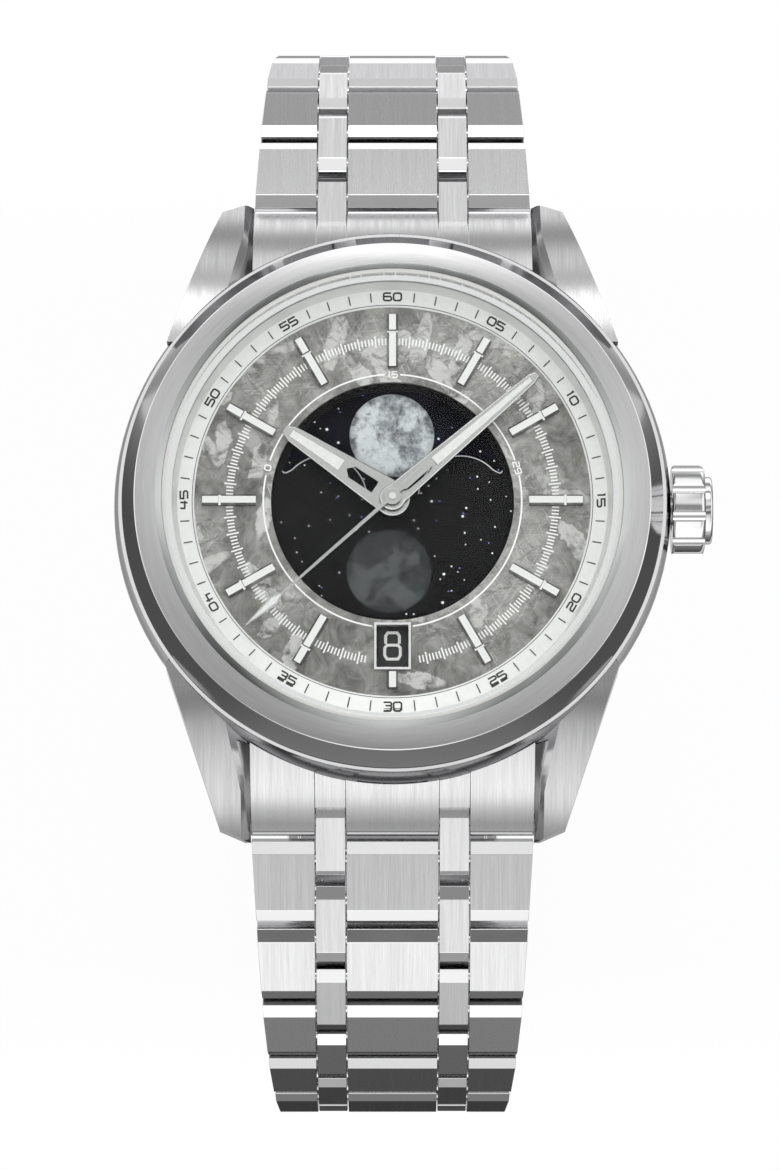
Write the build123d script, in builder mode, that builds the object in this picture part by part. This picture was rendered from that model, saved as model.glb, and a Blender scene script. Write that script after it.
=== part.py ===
from build123d import *
import os
from math import atan2, cos, degrees, hypot, radians, sin

# Wristwatch with a moon display, on a five-piece steel bracelet closed into a loop.
# Millimetres. The origin is the centre of the caseback's outer face, +X points at the
# crown (3 o'clock), +Y at 12 o'clock and +Z out of the dial.

# General fits
overrun = 2.0
press_gap = 0.02
run_gap = 0.03
slide_gap = 0.06
seat_gap = 0.1

# Main sizes: the case, the movement in step with it, and half the gap between the lugs
case_r = 21.56
plate_share = 0.64935065
plate_r = case_r * plate_share
lug_gap_half = 11.05

# Heights through the movement, each floor standing on the one below
back_thick = 1.0
back_neck_high = 1.5
wheel_thick = 0.2
bridge_rise = 0.9
bridge_thick = 0.55
bridge_clear = 0.2
train_clear = 0.15
plate_floor = 1.2
disc_air = 0.05
moon_disc_thick = 0.2
date_ring_thick = 0.2
moon_plate_thick = 0.28
moon_plate_air = 0.07
skirt_low = 2.0
bridge_low = back_thick + bridge_rise
bridge_top = bridge_low + bridge_thick
fifth_wheel_low = bridge_top + bridge_clear
second_wheel_low = fifth_wheel_low + wheel_thick + train_clear
second_pinion_low = second_wheel_low + 2 * wheel_thick
third_wheel_low = second_pinion_low + train_clear
second_pinion_high = third_wheel_low + 2 * wheel_thick
centre_wheel_low = second_pinion_high + wheel_thick
third_pinion_high = centre_wheel_low + wheel_thick + seat_gap
plate_low = third_pinion_high + train_clear
plate_recess = plate_low + plate_floor
minute_wheel_low = plate_recess + seat_gap
hour_wheel_low = minute_wheel_low + 2 * wheel_thick
moon_disc_low = hour_wheel_low + wheel_thick + train_clear
plate_top = moon_disc_low + moon_disc_thick + disc_air
date_ring_low = plate_top + disc_air
dial_low = date_ring_low + date_ring_thick + moon_plate_air + moon_plate_thick

# Heights over the dial
dial_thick = 0.4
case_over_dial = 0.3
index_high = 0.5
hand_thick = 0.25
second_hand_thick = 0.15
hand_step = 0.25
cap_high = 0.12
crystal_air = 0.43
crystal_thick = 1.3
dial_top = dial_low + dial_thick
case_top = dial_top + case_over_dial
hour_hand_low = dial_top + index_high + seat_gap
minute_hand_low = hour_hand_low + hand_thick + hand_step
second_hand_low = minute_hand_low + hand_thick + hand_step
crystal_low = second_hand_low + second_hand_thick + cap_high + crystal_air

# Case
case_top_inset = 0.31
case_foot_inset = 1.96
case_bulge_share = 0.5
case_bore_share = 0.8163265
case_seat_wide = 0.7
case_seat_depth = 1.2
case_top_r = case_r - case_top_inset
case_foot_r = case_r - case_foot_inset
case_bulge_height = back_thick + (case_top - back_thick) * case_bulge_share
case_bore_r = case_r * case_bore_share
case_seat_r = case_bore_r + case_seat_wide

# Lugs, measured back from their tips and out from the gap between them
lug_root_x_share = 0.8163265
lug_root_y_share = 0.5844156
lug_reach = 3.99
lug_corner_wide = 2.45
lug_corner_back = 0.95
lug_nose_wide = 0.45
lug_shoulder_share = 0.5559846
lug_shoulder_drop = 2.05
lug_tip_drop = 7.25
lug_nose_high = 2.25
lug_foot_back = 1.05
lug_bevel = 0.7
facet_tip_back = 0.25
facet_root_wide = 2.05
facet_root_back = 9.25
facet_run = 3.5
facet_drop_share = 0.85
lug_root_x = case_r * lug_root_x_share
lug_root_y = case_r * lug_root_y_share
lug_tip_y = case_r + lug_reach
lug_corner_x = lug_gap_half + lug_corner_wide
lug_corner_y = lug_tip_y - lug_corner_back
lug_nose_x = lug_gap_half + lug_nose_wide
lug_shoulder_y = lug_root_y + (lug_tip_y - lug_root_y) * lug_shoulder_share
lug_shoulder_height = case_top - lug_shoulder_drop
lug_tip_height = case_top - lug_tip_drop
lug_foot_height = lug_tip_height - lug_nose_high
lug_foot_y = lug_tip_y - lug_foot_back
facet_tip_y = lug_tip_y - facet_tip_back
facet_root_x = lug_gap_half + facet_root_wide
facet_root_y = lug_tip_y - facet_root_back

# Bezel, crystal and seals
bezel_ledge = 0.3
bezel_inset = 0.3
bezel_wall_height = 0.3
bezel_wall_lean = 0.35
bezel_corner_height = 0.95
bezel_chamfer_run = 1.02
bezel_slope_run = 0.52
bezel_slope_drop = 0.2
bezel_rim_drop = 0.45
bezel_lip_wide = 0.48
bezel_lip_over = 0.95
bezel_shelf_wide = 0.33
bezel_shelf_thick = 0.45
crystal_seal_wide = 0.33
crystal_bevel_run = 0.48
crystal_bevel_drop = 0.35
crystal_seal_height = 0.85
back_seal_wide = 0.55
back_seal_high = 0.5
stem_seal_wide = 0.6
bezel_bore_r = case_bore_r - bezel_ledge
bezel_neck_r = case_seat_r - seat_gap
bezel_foot_r = case_top_r - bezel_inset
bezel_corner_r = bezel_foot_r - bezel_wall_lean
bezel_rim_r = bezel_foot_r - bezel_chamfer_run
bezel_lip_r = bezel_bore_r + bezel_lip_wide
bezel_slope_r = bezel_lip_r + bezel_slope_run
bezel_shelf_r = bezel_bore_r - bezel_shelf_wide
bezel_lip_height = crystal_low + bezel_lip_over
bezel_slope_height = bezel_lip_height - bezel_slope_drop
bezel_rim_height = bezel_slope_height - bezel_rim_drop
crystal_r = bezel_lip_r - crystal_seal_wide

# Caseback
back_edge = 1.0
back_thread_gap = 0.2
back_wall_share = 0.3529412
back_notches = 6
notch_wide = 3.0
notch_deep = 0.7
notch_high = 0.55
back_chamfer = 0.35
back_r = case_foot_r - back_edge
back_neck_r = case_bore_r - back_thread_gap
back_wall = (back_neck_r - plate_r) * back_wall_share

# Crown, tube and stem
stem_under = 0.6
crown_r = 3.55
crown_gap = 0.24
crown_long = 2.55
crown_boss_r = 2.65
crown_boss_long = 0.6
crown_flutes = 10
flute_r = 0.5
flute_over = 0.2
crown_edge = 0.45
boss_edge = 0.25
crown_cavity_r = 1.6
crown_cavity_deep = 1.6
tube_r = 1.22
tube_bore_r = 0.9
tube_step = 0.15
tube_proud = 1.05
stem_r = 0.55
stem_start_share = 0.3714286
stem_grip = 0.7
stem_groove_r = 0.32
stem_groove_share = 0.5285714
stem_groove_wide = 0.6
stem_block_share = 0.7
stem_block_long = 2.0
stem_block_half = 1.2
stem_block_drop = 1.0
lever_thick = 0.4
lever_half = 1.5
lever_down = 1.3
lever_up = 0.5
crown_height = plate_low - stem_under
crown_start = case_r + crown_gap
flute_centre_r = crown_r + flute_over
tube_start = case_bore_r + tube_step
tube_end = crown_start + tube_proud
stem_start = plate_r * stem_start_share
stem_groove_at = plate_r * stem_groove_share
stem_block_start = plate_r * stem_block_share
stem_block_low = crown_height - stem_block_drop
lever_low = crown_height - lever_down
lever_high = crown_height + lever_up

# Moon display and date ring, over the movement
moon_disc_edge = 0.11
moon_plate_over = 0.2
moon_window_edge = 0.7
moon_hump_x_share = 0.6022727
moon_hump_y_share = 0.0340909
moon_hump_share = 0.375
moon_tip_share = 0.25
moon_collar_r = 2.0
moon_teeth = 59
moon_tooth_high = 0.2
date_inner_share = 0.6974249
date_disc_step = 0.25
date_teeth = 31
date_tooth_high = 0.35
date_tooth_half_deg = 2.6
date_ring_r = plate_r - press_gap
date_ring_inner_r = date_ring_r * date_inner_share
moon_disc_r = date_ring_inner_r - date_disc_step
moon_plate_r = moon_disc_r + moon_plate_over
moon_window_r = moon_disc_r - moon_window_edge
moon_hump_x = moon_window_r * moon_hump_x_share
moon_hump_y = moon_window_r * moon_hump_y_share
moon_hump_r = moon_window_r * moon_hump_share
moon_tip_y = moon_window_r * moon_tip_share

# Dial, printed ring and applied markers, which share the band between aperture and ring
dial_edge_gap = 0.9
chapter_reveal = 0.01
chapter_wide = 1.66
chapter_lip = 0.12
chapter_knee_wide = 0.36
chapter_knee_high = 0.42
chapter_air = 0.2
index_start_share = 0.1962775
index_end_gap = 0.6
index_half = 0.41
index_side_high = 0.28
index_flat_half = 0.27
index_split_share = 0.6746988
index_split_wide = 0.2
index_split_deep = 0.3
index_foot_r = 0.2
index_foot_long = 0.35
index_foot_inset = 0.55
index_frame_gap = 0.17
hours = 12
date_place_share = 0.3451777
date_long_share = 0.6260575
date_frame_wide = 2.87
date_frame_bar = 0.22
date_frame_high = 0.25
dial_r = bezel_bore_r - dial_edge_gap
aperture_r = moon_disc_r - moon_disc_edge
chapter_outer_r = bezel_shelf_r - chapter_reveal
chapter_inner_r = chapter_outer_r - chapter_wide
chapter_high = crystal_low - bezel_shelf_thick - chapter_air - dial_top
dial_band = chapter_inner_r - aperture_r
index_inner_r = aperture_r + dial_band * index_start_share
index_outer_r = chapter_inner_r - index_end_gap
index_split_r = index_inner_r + (index_outer_r - index_inner_r) * index_split_share
date_r = aperture_r + dial_band * date_place_share
date_frame_long = dial_band * date_long_share

# Hands, at eight minutes and thirty-eight seconds past ten
hour_angle = 303.4
minute_angle = 49.0
second_angle = 228.1
hour_over = 0.61
hour_tip_half = 0.3
hour_tip_long = 0.7
hour_shoulder_half = 0.64
hour_base_s = 0.65
hour_base_half = 1.335
hour_hub_r = 1.35
hour_slot_start_share = 0.475
hour_slot_start_half = 0.45
hour_slot_margin = 0.65
hour_slot_end_half = 0.26
hour_window_start = 1.6
hour_window_half = 0.5
minute_short = 0.44
minute_tip_half = 0.22
minute_tip_long = 0.56
minute_shoulder_half = 0.44
minute_base_s = 0.6
minute_base_half = 0.887
minute_hub_r = 1.0
minute_slot_start = 4.3
minute_slot_start_half = 0.36
minute_slot_margin = 0.66
minute_slot_end_half = 0.16
minute_window_start = 1.3
minute_window_half = 0.36
window_bar = 0.5
second_over = 0.05
second_half = 0.15
second_head_long = 4.15
second_head_back = 3.15
second_head_half = 0.42
second_inlay_margin = 0.3
second_tail = 4.0
second_tail_start = 1.0
second_tail_half = 0.3
second_hub_r = 0.65
hand_edge = 0.08
hour_long = aperture_r + hour_over
hour_shoulder_s = hour_long - hour_tip_long
hour_slot_start = hour_long * hour_slot_start_share
hour_slot_end = hour_long - hour_slot_margin
hour_window_end = hour_slot_start - window_bar
minute_long = chapter_inner_r - minute_short
minute_shoulder_s = minute_long - minute_tip_long
minute_slot_end = minute_long - minute_slot_margin
minute_window_end = minute_slot_start - window_bar
second_long = chapter_inner_r + second_over
second_head_start = second_long - second_head_long
second_head_wide_s = second_long - second_head_back

# Movement: the wheels' modules and the places of the parts follow the plate
holder_wall_gap = 0.05
skirt_wall_share = 0.0571429
train_module_share = 0.00714286
motor_module_share = 0.00857143
recess_share = 0.3428571
pillar_share = 0.0642857
pillar_centre_share = 0.6142857
pillar_angles = (20, 150, 225)
bridge_hub_r = 1.6
jewel_bore_r = 0.2
pivot_r = 0.17
seconds_arbor_r = 0.15
cap_r = 0.27
cannon_bore_r = 0.2
pipe_gap = 0.04
pipe_wall = 0.28
pinion_leaves = 10
second_wheel_teeth = 60
third_wheel_teeth = 75
centre_wheel_teeth = 80
fifth_wheel_teeth = 50
cannon_leaves = 12
minute_wheel_teeth = 36
hour_wheel_teeth = 40
tooth_tip_share = 1.7
tooth_root_share = 2.4
tooth_root_half_share = 0.32
tooth_tip_half_share = 0.11
hub_r = 0.6
arbor_r = 0.22
third_bearing = 170
fifth_bearing = 60
motion_bearing = -60
rotor_r = 0.6
rotor_over = 0.2
rotor_pinion_long = 0.28
stator_thick = 0.4
stator_bore_r = 0.8
stator_ring_share = 0.1357143
coil_y_share = 0.6857143
coil_start_share = 0.4214286
coil_end_share = 0.2428571
coil_r = 1.1
core_half = 0.45
foot_share = 0.0857143
cell_share = 0.2821429
cell_thick = 2.0
cell_x_share = 0.1071429
cell_y_share = 0.6
cell_rim = 0.5
holder_low = back_thick + back_neck_high + seat_gap
train_module = plate_r * train_module_share
motor_module = plate_r * motor_module_share
third_pinion_module = (
    train_module * (third_wheel_teeth + pinion_leaves) / (centre_wheel_teeth + pinion_leaves)
)
motion_module = (
    train_module * (cannon_leaves + minute_wheel_teeth) / (hour_wheel_teeth + pinion_leaves)
)
skirt_wall = plate_r * skirt_wall_share
recess_r = plate_r * recess_share
pillar_r = plate_r * pillar_share
pillar_centre_r = plate_r * pillar_centre_share
cannon_r = train_module * (cannon_leaves - tooth_root_share) / 2
hour_pipe_bore_r = cannon_r + pipe_gap
hour_pipe_r = hour_pipe_bore_r + pipe_wall
stator_low = second_wheel_low + wheel_thick
rotor_low = stator_low - rotor_over
rotor_high = stator_low + stator_thick + rotor_over
stator_ring_r = plate_r * stator_ring_share
coil_y = plate_r * coil_y_share
coil_start = -plate_r * coil_start_share
coil_end = plate_r * coil_end_share
foot_r = plate_r * foot_share
cell_r = plate_r * cell_share
cell_x = plate_r * cell_x_share
cell_y = -plate_r * cell_y_share

# Bracelet columns across its width, and the pieces along it
centre_half = 3.625
narrow_wide = 2.4
column_gap = 0.05
end_width_share = 0.8181818
taper_share = 0.1875
row_pitch = 6.7
link_gap = 0.35
link_top = 1.4
link_bevel_run = 0.95
link_bevel_drop = 0.45
pin_r = 0.5
pin_inset = 0.35
first_gap_back = 0.4
first_gap_rise = 0.8
first_narrow_angle = 30
row_angles = (20, 38, 58, 71, 84, 108, 133, 153, 168)
clasp_angle = 180
narrow_outer = centre_half + narrow_wide
head_width = 2 * (lug_gap_half - column_gap)
end_width = head_width * end_width_share
taper_per_row = (head_width - end_width) * taper_share
pin_step = row_pitch / 2
link_end_r = (pin_step - link_gap) / 2
first_gap_y = lug_tip_y - first_gap_back
first_gap_z = lug_foot_height + first_gap_rise

# End links and spring bars
end_link_clear = 0.12
end_link_root_back = 2.8
end_link_root_drop = 0.95
end_link_mid_over = 1.8
end_link_mid_drop = 1.4
end_link_groove = 0.3
end_top_angle = 42
bar_r = 0.75
bar_tip_r = 0.42
bar_tip_long = 1.3
end_link_root_y = lug_shoulder_y - end_link_root_back
end_link_root_height = case_top - end_link_root_drop
end_link_mid_y = lug_shoulder_y + end_link_mid_over
end_link_mid_height = lug_shoulder_height - end_link_mid_drop
end_link_low = back_thick - seat_gap
end_end_r = link_end_r - seat_gap

# Clasp
cover_low = 1.1
cover_thick = 1.2
cover_wall = 1.0
cover_wall_rise = 1.2
cover_bar_gap = 0.4
cover_bevel = 0.5
braze_gap = 0.02
fold_boss_wide = 2.0
blade_thick = 0.7
blade_air = 0.25
short_blade_rise = 0.45
long_blade_drop = 0.15
fold_near_inset = 6.25
fold_far_inset = 5.25
knuckle_r = 0.55
knuckle_half = 3.0
fold_pin_r = 0.3
cross_bar_long = 1.6
button_long = 4.2
button_high = 1.7
button_deep = 2.3
button_proud = 0.55
button_y = 6.0
end_half = end_width / 2
blade_half = end_half - cover_wall - fold_boss_wide
cover_end_gap = link_end_r + cover_bar_gap

os.makedirs("parts", exist_ok=True)


def save(piece, name):
    piece.part.label = name
    export_step(piece.part, f"parts/{name}.step")
    print(name, "solids", len(piece.part.solids()), "volume", round(piece.part.volume, 3))


def clock_plane(angle, height):
    # A plane whose x axis points from the centre at a clockwise angle from 12 o'clock.
    turn = radians(90 - angle)
    return Plane(origin=(0, 0, height), x_dir=(cos(turn), sin(turn), 0), z_dir=(0, 0, 1))


def polar(radius, bearing):
    return (radius * cos(radians(bearing)), radius * sin(radians(bearing)))


# Mid-case: a round body and four faceted lugs
def lug_top(y):
    # Height of the lug's convex top at a distance y from the centre, on the arc's own circle.
    x1, z1 = lug_root_y, case_top
    x2, z2 = lug_shoulder_y, lug_shoulder_height
    x3, z3 = lug_tip_y, lug_tip_height
    d = 2 * (x1 * (z2 - z3) + x2 * (z3 - z1) + x3 * (z1 - z2))
    s1, s2, s3 = x1 * x1 + z1 * z1, x2 * x2 + z2 * z2, x3 * x3 + z3 * z3
    cx = (s1 * (z2 - z3) + s2 * (z3 - z1) + s3 * (z1 - z2)) / d
    cz = (s1 * (x3 - x2) + s2 * (x1 - x3) + s3 * (x2 - x1)) / d
    r = hypot(x1 - cx, z1 - cz)
    return cz + (r * r - (y - cx) ** 2) ** 0.5


with BuildPart() as lug:
    with BuildSketch(Plane.YZ.offset(lug_gap_half)):
        with BuildLine():
            ThreePointArc(
                (lug_root_y, case_top),
                (lug_shoulder_y, lug_shoulder_height),
                (lug_tip_y, lug_tip_height),
            )
            Polyline(
                (lug_tip_y, lug_tip_height),
                (lug_tip_y, lug_foot_height + lug_bevel),
                (lug_foot_y, lug_foot_height),
            )
            Line((lug_foot_y, lug_foot_height), (lug_shoulder_y, back_thick))
            Line((lug_shoulder_y, back_thick), (lug_root_y, back_thick))
            Line((lug_root_y, back_thick), (lug_root_y, case_top))
        make_face()
    extrude(amount=lug_root_x - lug_gap_half)
    with BuildSketch(Plane.XY.offset(lug_foot_height - overrun)):
        Polygon(
            (lug_gap_half, lug_root_y),
            (lug_root_x, lug_root_y),
            (lug_corner_x, lug_corner_y),
            (lug_nose_x, lug_tip_y),
            (lug_gap_half, lug_tip_y),
        )
    extrude(amount=case_top - lug_foot_height + 2 * overrun, mode=Mode.INTERSECT)
    # The polished bevel runs along the curved outer edge of the top.
    curved = lug.edges().filter_by(GeomType.LINE, reverse=True)
    chamfer(curved.group_by(SortBy.LENGTH)[-1].sort_by(Axis.X)[-1], length=lug_bevel)
    # The inner facet widens from the tip to the bezel's rim and falls towards the slot.
    run = hypot(facet_root_x - lug_gap_half, facet_tip_y - facet_root_y)
    along = ((facet_root_x - lug_gap_half) / run, (facet_root_y - facet_tip_y) / run, 0)
    facet_down = Vector(-1, 0, -facet_drop_share).normalized()
    facet_start = Vector(lug_gap_half, facet_tip_y, 0) - facet_down * overrun
    facet_plane = Plane(origin=facet_start, x_dir=along, z_dir=(along[1], -along[0], 0))
    with BuildSketch(facet_plane):
        with BuildLine():
            rise = -1 if facet_plane.y_dir.Z < 0 else 1
            ThreePointArc(
                (0, rise * lug_top(facet_tip_y)),
                (run / 2, rise * lug_top((facet_tip_y + facet_root_y) / 2)),
                (run, rise * lug_top(facet_root_y)),
            )
            Polyline(
                (run, rise * lug_top(facet_root_y)),
                (run, rise * (case_top + overrun)),
                (0, rise * (case_top + overrun)),
                (0, rise * lug_top(facet_tip_y)),
            )
        make_face()
    extrude(amount=facet_run + overrun, dir=facet_down, mode=Mode.SUBTRACT)

# The first hinge pins past the end link, shared by the lugs, the end links and the bracelet
def heading(angle):
    return (cos(radians(angle)), -sin(radians(angle)))


def step_from(point, angle, distance):
    u = heading(angle)
    return (point[0] + u[0] * distance, point[1] + u[1] * distance)


bar_centre = step_from((first_gap_y, first_gap_z), first_narrow_angle, -pin_step / 2)

with BuildPart() as mid_case:
    with BuildSketch(Plane.XZ):
        with BuildLine():
            ThreePointArc(
                (case_foot_r, back_thick), (case_r, case_bulge_height), (case_top_r, case_top)
            )
            Polyline(
                (case_top_r, case_top),
                (case_seat_r, case_top),
                (case_seat_r, case_top - case_seat_depth),
                (case_bore_r, case_top - case_seat_depth),
                (case_bore_r, back_thick),
                (case_foot_r, back_thick),
            )
        make_face()
    revolve(axis=Axis.Z)
    add(lug.part)
    mirror(about=Plane.XZ)
    mirror(about=Plane.YZ)
    # The lugs run into the round body, so the bore is cut again through both.
    with BuildSketch(Plane.XY.offset(back_thick)):
        Circle(case_bore_r)
    extrude(amount=case_top, mode=Mode.SUBTRACT)
    with BuildSketch(Plane.XY.offset(case_top - case_seat_depth)):
        Circle(case_seat_r)
    extrude(amount=case_top, mode=Mode.SUBTRACT)
    with BuildSketch(Plane.XY.offset(back_thick)):
        Circle(case_bore_r + back_seal_wide)
    extrude(amount=back_seal_high, mode=Mode.SUBTRACT)
    with BuildSketch(Plane.YZ.offset(case_bore_r - overrun)):
        with Locations((0, crown_height)):
            Circle(tube_r + press_gap)
    extrude(amount=case_r, mode=Mode.SUBTRACT)
    with BuildSketch(Plane.YZ.offset(-lug_nose_x - bar_tip_long)):
        with Locations(bar_centre, (-bar_centre[0], bar_centre[1])):
            Circle(bar_tip_r + run_gap)
    extrude(amount=2 * (lug_nose_x + bar_tip_long), mode=Mode.SUBTRACT)
save(mid_case, "mid_case")

# Bezel: brushed top, polished outer chamfer and polished inner slope
with BuildPart() as bezel:
    with BuildSketch(Plane.XZ):
        Polygon(
            (bezel_bore_r, case_top - case_seat_depth),
            (bezel_neck_r, case_top - case_seat_depth),
            (bezel_neck_r, case_top),
            (bezel_foot_r, case_top),
            (bezel_foot_r, case_top + bezel_wall_height),
            (bezel_corner_r, case_top + bezel_corner_height),
            (bezel_rim_r, bezel_rim_height),
            (bezel_slope_r, bezel_slope_height),
            (bezel_lip_r, bezel_lip_height),
            (bezel_lip_r, crystal_low),
            (bezel_shelf_r, crystal_low),
            (bezel_shelf_r, crystal_low - bezel_shelf_thick),
            (bezel_bore_r, crystal_low - bezel_shelf_thick),
        )
    revolve(axis=Axis.Z)
save(bezel, "bezel")

with BuildPart() as crystal:
    with BuildSketch(Plane.XY.offset(crystal_low)):
        Circle(crystal_r)
    extrude(amount=crystal_thick)
    chamfer(
        crystal.faces().sort_by(Axis.Z)[-1].edges(),
        length=crystal_bevel_drop,
        length2=crystal_bevel_run,
    )
save(crystal, "crystal")

# Caseback: a screw-in disc with notches for a case key
with BuildPart() as caseback:
    with BuildSketch(Plane.XY):
        Circle(back_r)
    extrude(amount=back_thick)
    chamfer(caseback.faces().sort_by(Axis.Z)[0].edges(), length=back_chamfer)
    with BuildSketch(Plane.XY.offset(back_thick)):
        Circle(back_neck_r)
        Circle(back_neck_r - back_wall, mode=Mode.SUBTRACT)
    extrude(amount=back_neck_high)
    with BuildSketch(Plane.XY):
        with PolarLocations(back_r, back_notches):
            Rectangle(2 * notch_deep, notch_wide)
    extrude(amount=notch_high, mode=Mode.SUBTRACT)
save(caseback, "caseback")

# Seal rings: under the crystal's edge, round the caseback's neck and round the stem
with BuildPart() as seal_rings:
    with BuildSketch(Plane.XY.offset(crystal_low)):
        Circle(bezel_lip_r)
        Circle(crystal_r, mode=Mode.SUBTRACT)
    extrude(amount=crystal_seal_height)
    with BuildSketch(Plane.XY.offset(back_thick)):
        Circle(case_bore_r + back_seal_wide - press_gap)
        Circle(back_neck_r + press_gap, mode=Mode.SUBTRACT)
    extrude(amount=back_seal_high - press_gap)
    with BuildSketch(Plane.YZ.offset(tube_end - 2 * stem_seal_wide)):
        with Locations((0, crown_height)):
            Circle(tube_bore_r - press_gap)
            Circle(stem_r + run_gap, mode=Mode.SUBTRACT)
    extrude(amount=stem_seal_wide)
save(seal_rings, "seal_rings")

# Movement holder: a plastic ring between the movement and the case
with BuildPart() as movement_holder:
    with BuildSketch(Plane.XY.offset(holder_low)):
        Circle(case_bore_r - seat_gap)
        Circle(plate_r + holder_wall_gap, mode=Mode.SUBTRACT)
    extrude(amount=dial_low - holder_low)
    # The corner under the bezel's neck stays clear.
    with BuildSketch(Plane.XY.offset(case_top - case_seat_depth - seat_gap)):
        Circle(case_bore_r + overrun)
        Circle(bezel_bore_r - seat_gap, mode=Mode.SUBTRACT)
    extrude(amount=overrun, mode=Mode.SUBTRACT)
    with BuildSketch(Plane.YZ.offset(plate_r - overrun)):
        with Locations((0, crown_height)):
            Circle(tube_bore_r)
    extrude(amount=case_bore_r, mode=Mode.SUBTRACT)
save(movement_holder, "movement_holder")

with BuildPart() as crown_tube:
    with BuildSketch(Plane.YZ.offset(tube_start)):
        with Locations((0, crown_height)):
            Circle(tube_r)
            Circle(tube_bore_r, mode=Mode.SUBTRACT)
    extrude(amount=tube_end - tube_start)
save(crown_tube, "crown_tube")

# Crown: a fluted knob with a raised end, hollow over the tube
with BuildPart() as crown:
    with BuildSketch(Plane.YZ.offset(crown_start)):
        with Locations((0, crown_height)):
            Circle(crown_r)
    extrude(amount=crown_long)
    fillet(crown.edges().filter_by(GeomType.CIRCLE).sort_by(Axis.X)[-1], crown_edge)
    fillet(crown.edges().filter_by(GeomType.CIRCLE).sort_by(Axis.X)[0], boss_edge)
    with BuildSketch(Plane.YZ.offset(crown_start)):
        with Locations((0, crown_height)):
            with PolarLocations(flute_centre_r, crown_flutes):
                Circle(flute_r)
    extrude(amount=crown_long, mode=Mode.SUBTRACT)
    with BuildSketch(Plane.YZ.offset(crown_start + crown_long)):
        with Locations((0, crown_height)):
            Circle(crown_boss_r)
    extrude(amount=crown_boss_long)
    fillet(crown.edges().filter_by(GeomType.CIRCLE).sort_by(Axis.X)[-1], boss_edge)
    with BuildSketch(Plane.YZ.offset(crown_start)):
        with Locations((0, crown_height)):
            Circle(crown_cavity_r)
    extrude(amount=crown_cavity_deep, mode=Mode.SUBTRACT)
    with BuildSketch(Plane.YZ.offset(crown_start + crown_cavity_deep)):
        with Locations((0, crown_height)):
            Circle(stem_r)
    extrude(amount=stem_grip, mode=Mode.SUBTRACT)
save(crown, "crown")

with BuildPart() as crown_stem:
    with BuildSketch(Plane.YZ.offset(stem_start)):
        with Locations((0, crown_height)):
            Circle(stem_r)
    extrude(amount=crown_start + crown_cavity_deep + stem_grip - stem_start)
    with BuildSketch(Plane.YZ.offset(stem_groove_at)):
        with Locations((0, crown_height)):
            Circle(stem_r + overrun)
            Circle(stem_groove_r, mode=Mode.SUBTRACT)
    extrude(amount=stem_groove_wide, mode=Mode.SUBTRACT)
save(crown_stem, "crown_stem")

# Setting lever: its fork sits in the stem's groove and follows the crown in and out
with BuildPart() as setting_lever:
    lever_at = stem_groove_at + (stem_groove_wide - lever_thick) / 2
    with BuildSketch(Plane.YZ.offset(lever_at)):
        Polygon(
            (-lever_half, lever_low),
            (lever_half, lever_low),
            (lever_half, lever_high),
            (-lever_half, lever_high),
        )
        with Locations((0, crown_height)):
            Circle(stem_groove_r + run_gap, mode=Mode.SUBTRACT)
        with Locations((0, crown_height + overrun / 2)):
            Rectangle(2 * (stem_groove_r + run_gap), overrun, mode=Mode.SUBTRACT)
    extrude(amount=lever_thick)
save(setting_lever, "setting_lever")

# Chapter ring: it stands on the dial's edge, gently sloping under its figures, then steep
with BuildPart() as chapter_ring:
    with BuildSketch(Plane.XZ):
        Polygon(
            (chapter_inner_r, dial_top),
            (bezel_bore_r - seat_gap, dial_top),
            (bezel_bore_r - seat_gap, dial_top + chapter_high),
            (chapter_outer_r, dial_top + chapter_high),
            (chapter_outer_r - chapter_knee_wide, dial_top + chapter_knee_high),
            (chapter_inner_r, dial_top + chapter_lip),
        )
    revolve(axis=Axis.Z)
save(chapter_ring, "chapter_ring")


# Applied hour markers: split batons with two feet each, and one short baton under the date
def index_angles():
    return [360 * h / hours for h in range(1, hours + 1)]


def index_span(angle):
    # The marker at 6 o'clock is short, because the date frame takes its inner part.
    six = date_r + date_frame_long / 2 + index_frame_gap
    return (six if angle == 180 else index_inner_r, index_outer_r)


def index_feet(angle):
    inner, outer = index_span(angle)
    short = outer - inner < 4 * index_foot_inset
    return [(inner + outer) / 2] if short else [inner + index_foot_inset, outer - index_foot_inset]


with BuildPart() as dial:
    with BuildSketch(Plane.XY.offset(dial_low)):
        Circle(dial_r)
        Circle(aperture_r, mode=Mode.SUBTRACT)
        with Locations((0, -date_r)):
            Rectangle(
                date_frame_wide - 2 * date_frame_bar,
                date_frame_long - 2 * date_frame_bar,
                mode=Mode.SUBTRACT,
            )
    extrude(amount=dial_thick)
    for angle in index_angles():
        with BuildSketch(clock_plane(angle, dial_low)):
            with Locations(*[(s, 0) for s in index_feet(angle)]):
                Circle(index_foot_r + press_gap)
        extrude(amount=dial_thick, mode=Mode.SUBTRACT)
save(dial, "dial")

with BuildPart() as hour_indices:
    for angle in index_angles():
        inner, outer = index_span(angle)
        plane = clock_plane(angle, dial_top)
        start = plane.from_local_coords((inner, 0, 0))
        section = Plane(origin=start, x_dir=plane.y_dir, z_dir=plane.x_dir)
        with BuildSketch(section):
            Polygon(
                (-index_half, 0),
                (index_half, 0),
                (index_half, index_side_high),
                (index_flat_half, index_high),
                (-index_flat_half, index_high),
                (-index_half, index_side_high),
            )
        extrude(amount=outer - inner)
        with BuildSketch(plane):
            with Locations(*[(s, 0) for s in index_feet(angle)]):
                Circle(index_foot_r)
        extrude(amount=-index_foot_long)
        if angle != 180:
            with BuildSketch(plane.offset(index_high - index_split_deep)):
                with Locations((index_split_r, 0)):
                    Rectangle(index_split_wide, 2 * index_half + overrun)
            extrude(amount=index_high, mode=Mode.SUBTRACT)
save(hour_indices, "hour_indices")

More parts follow.
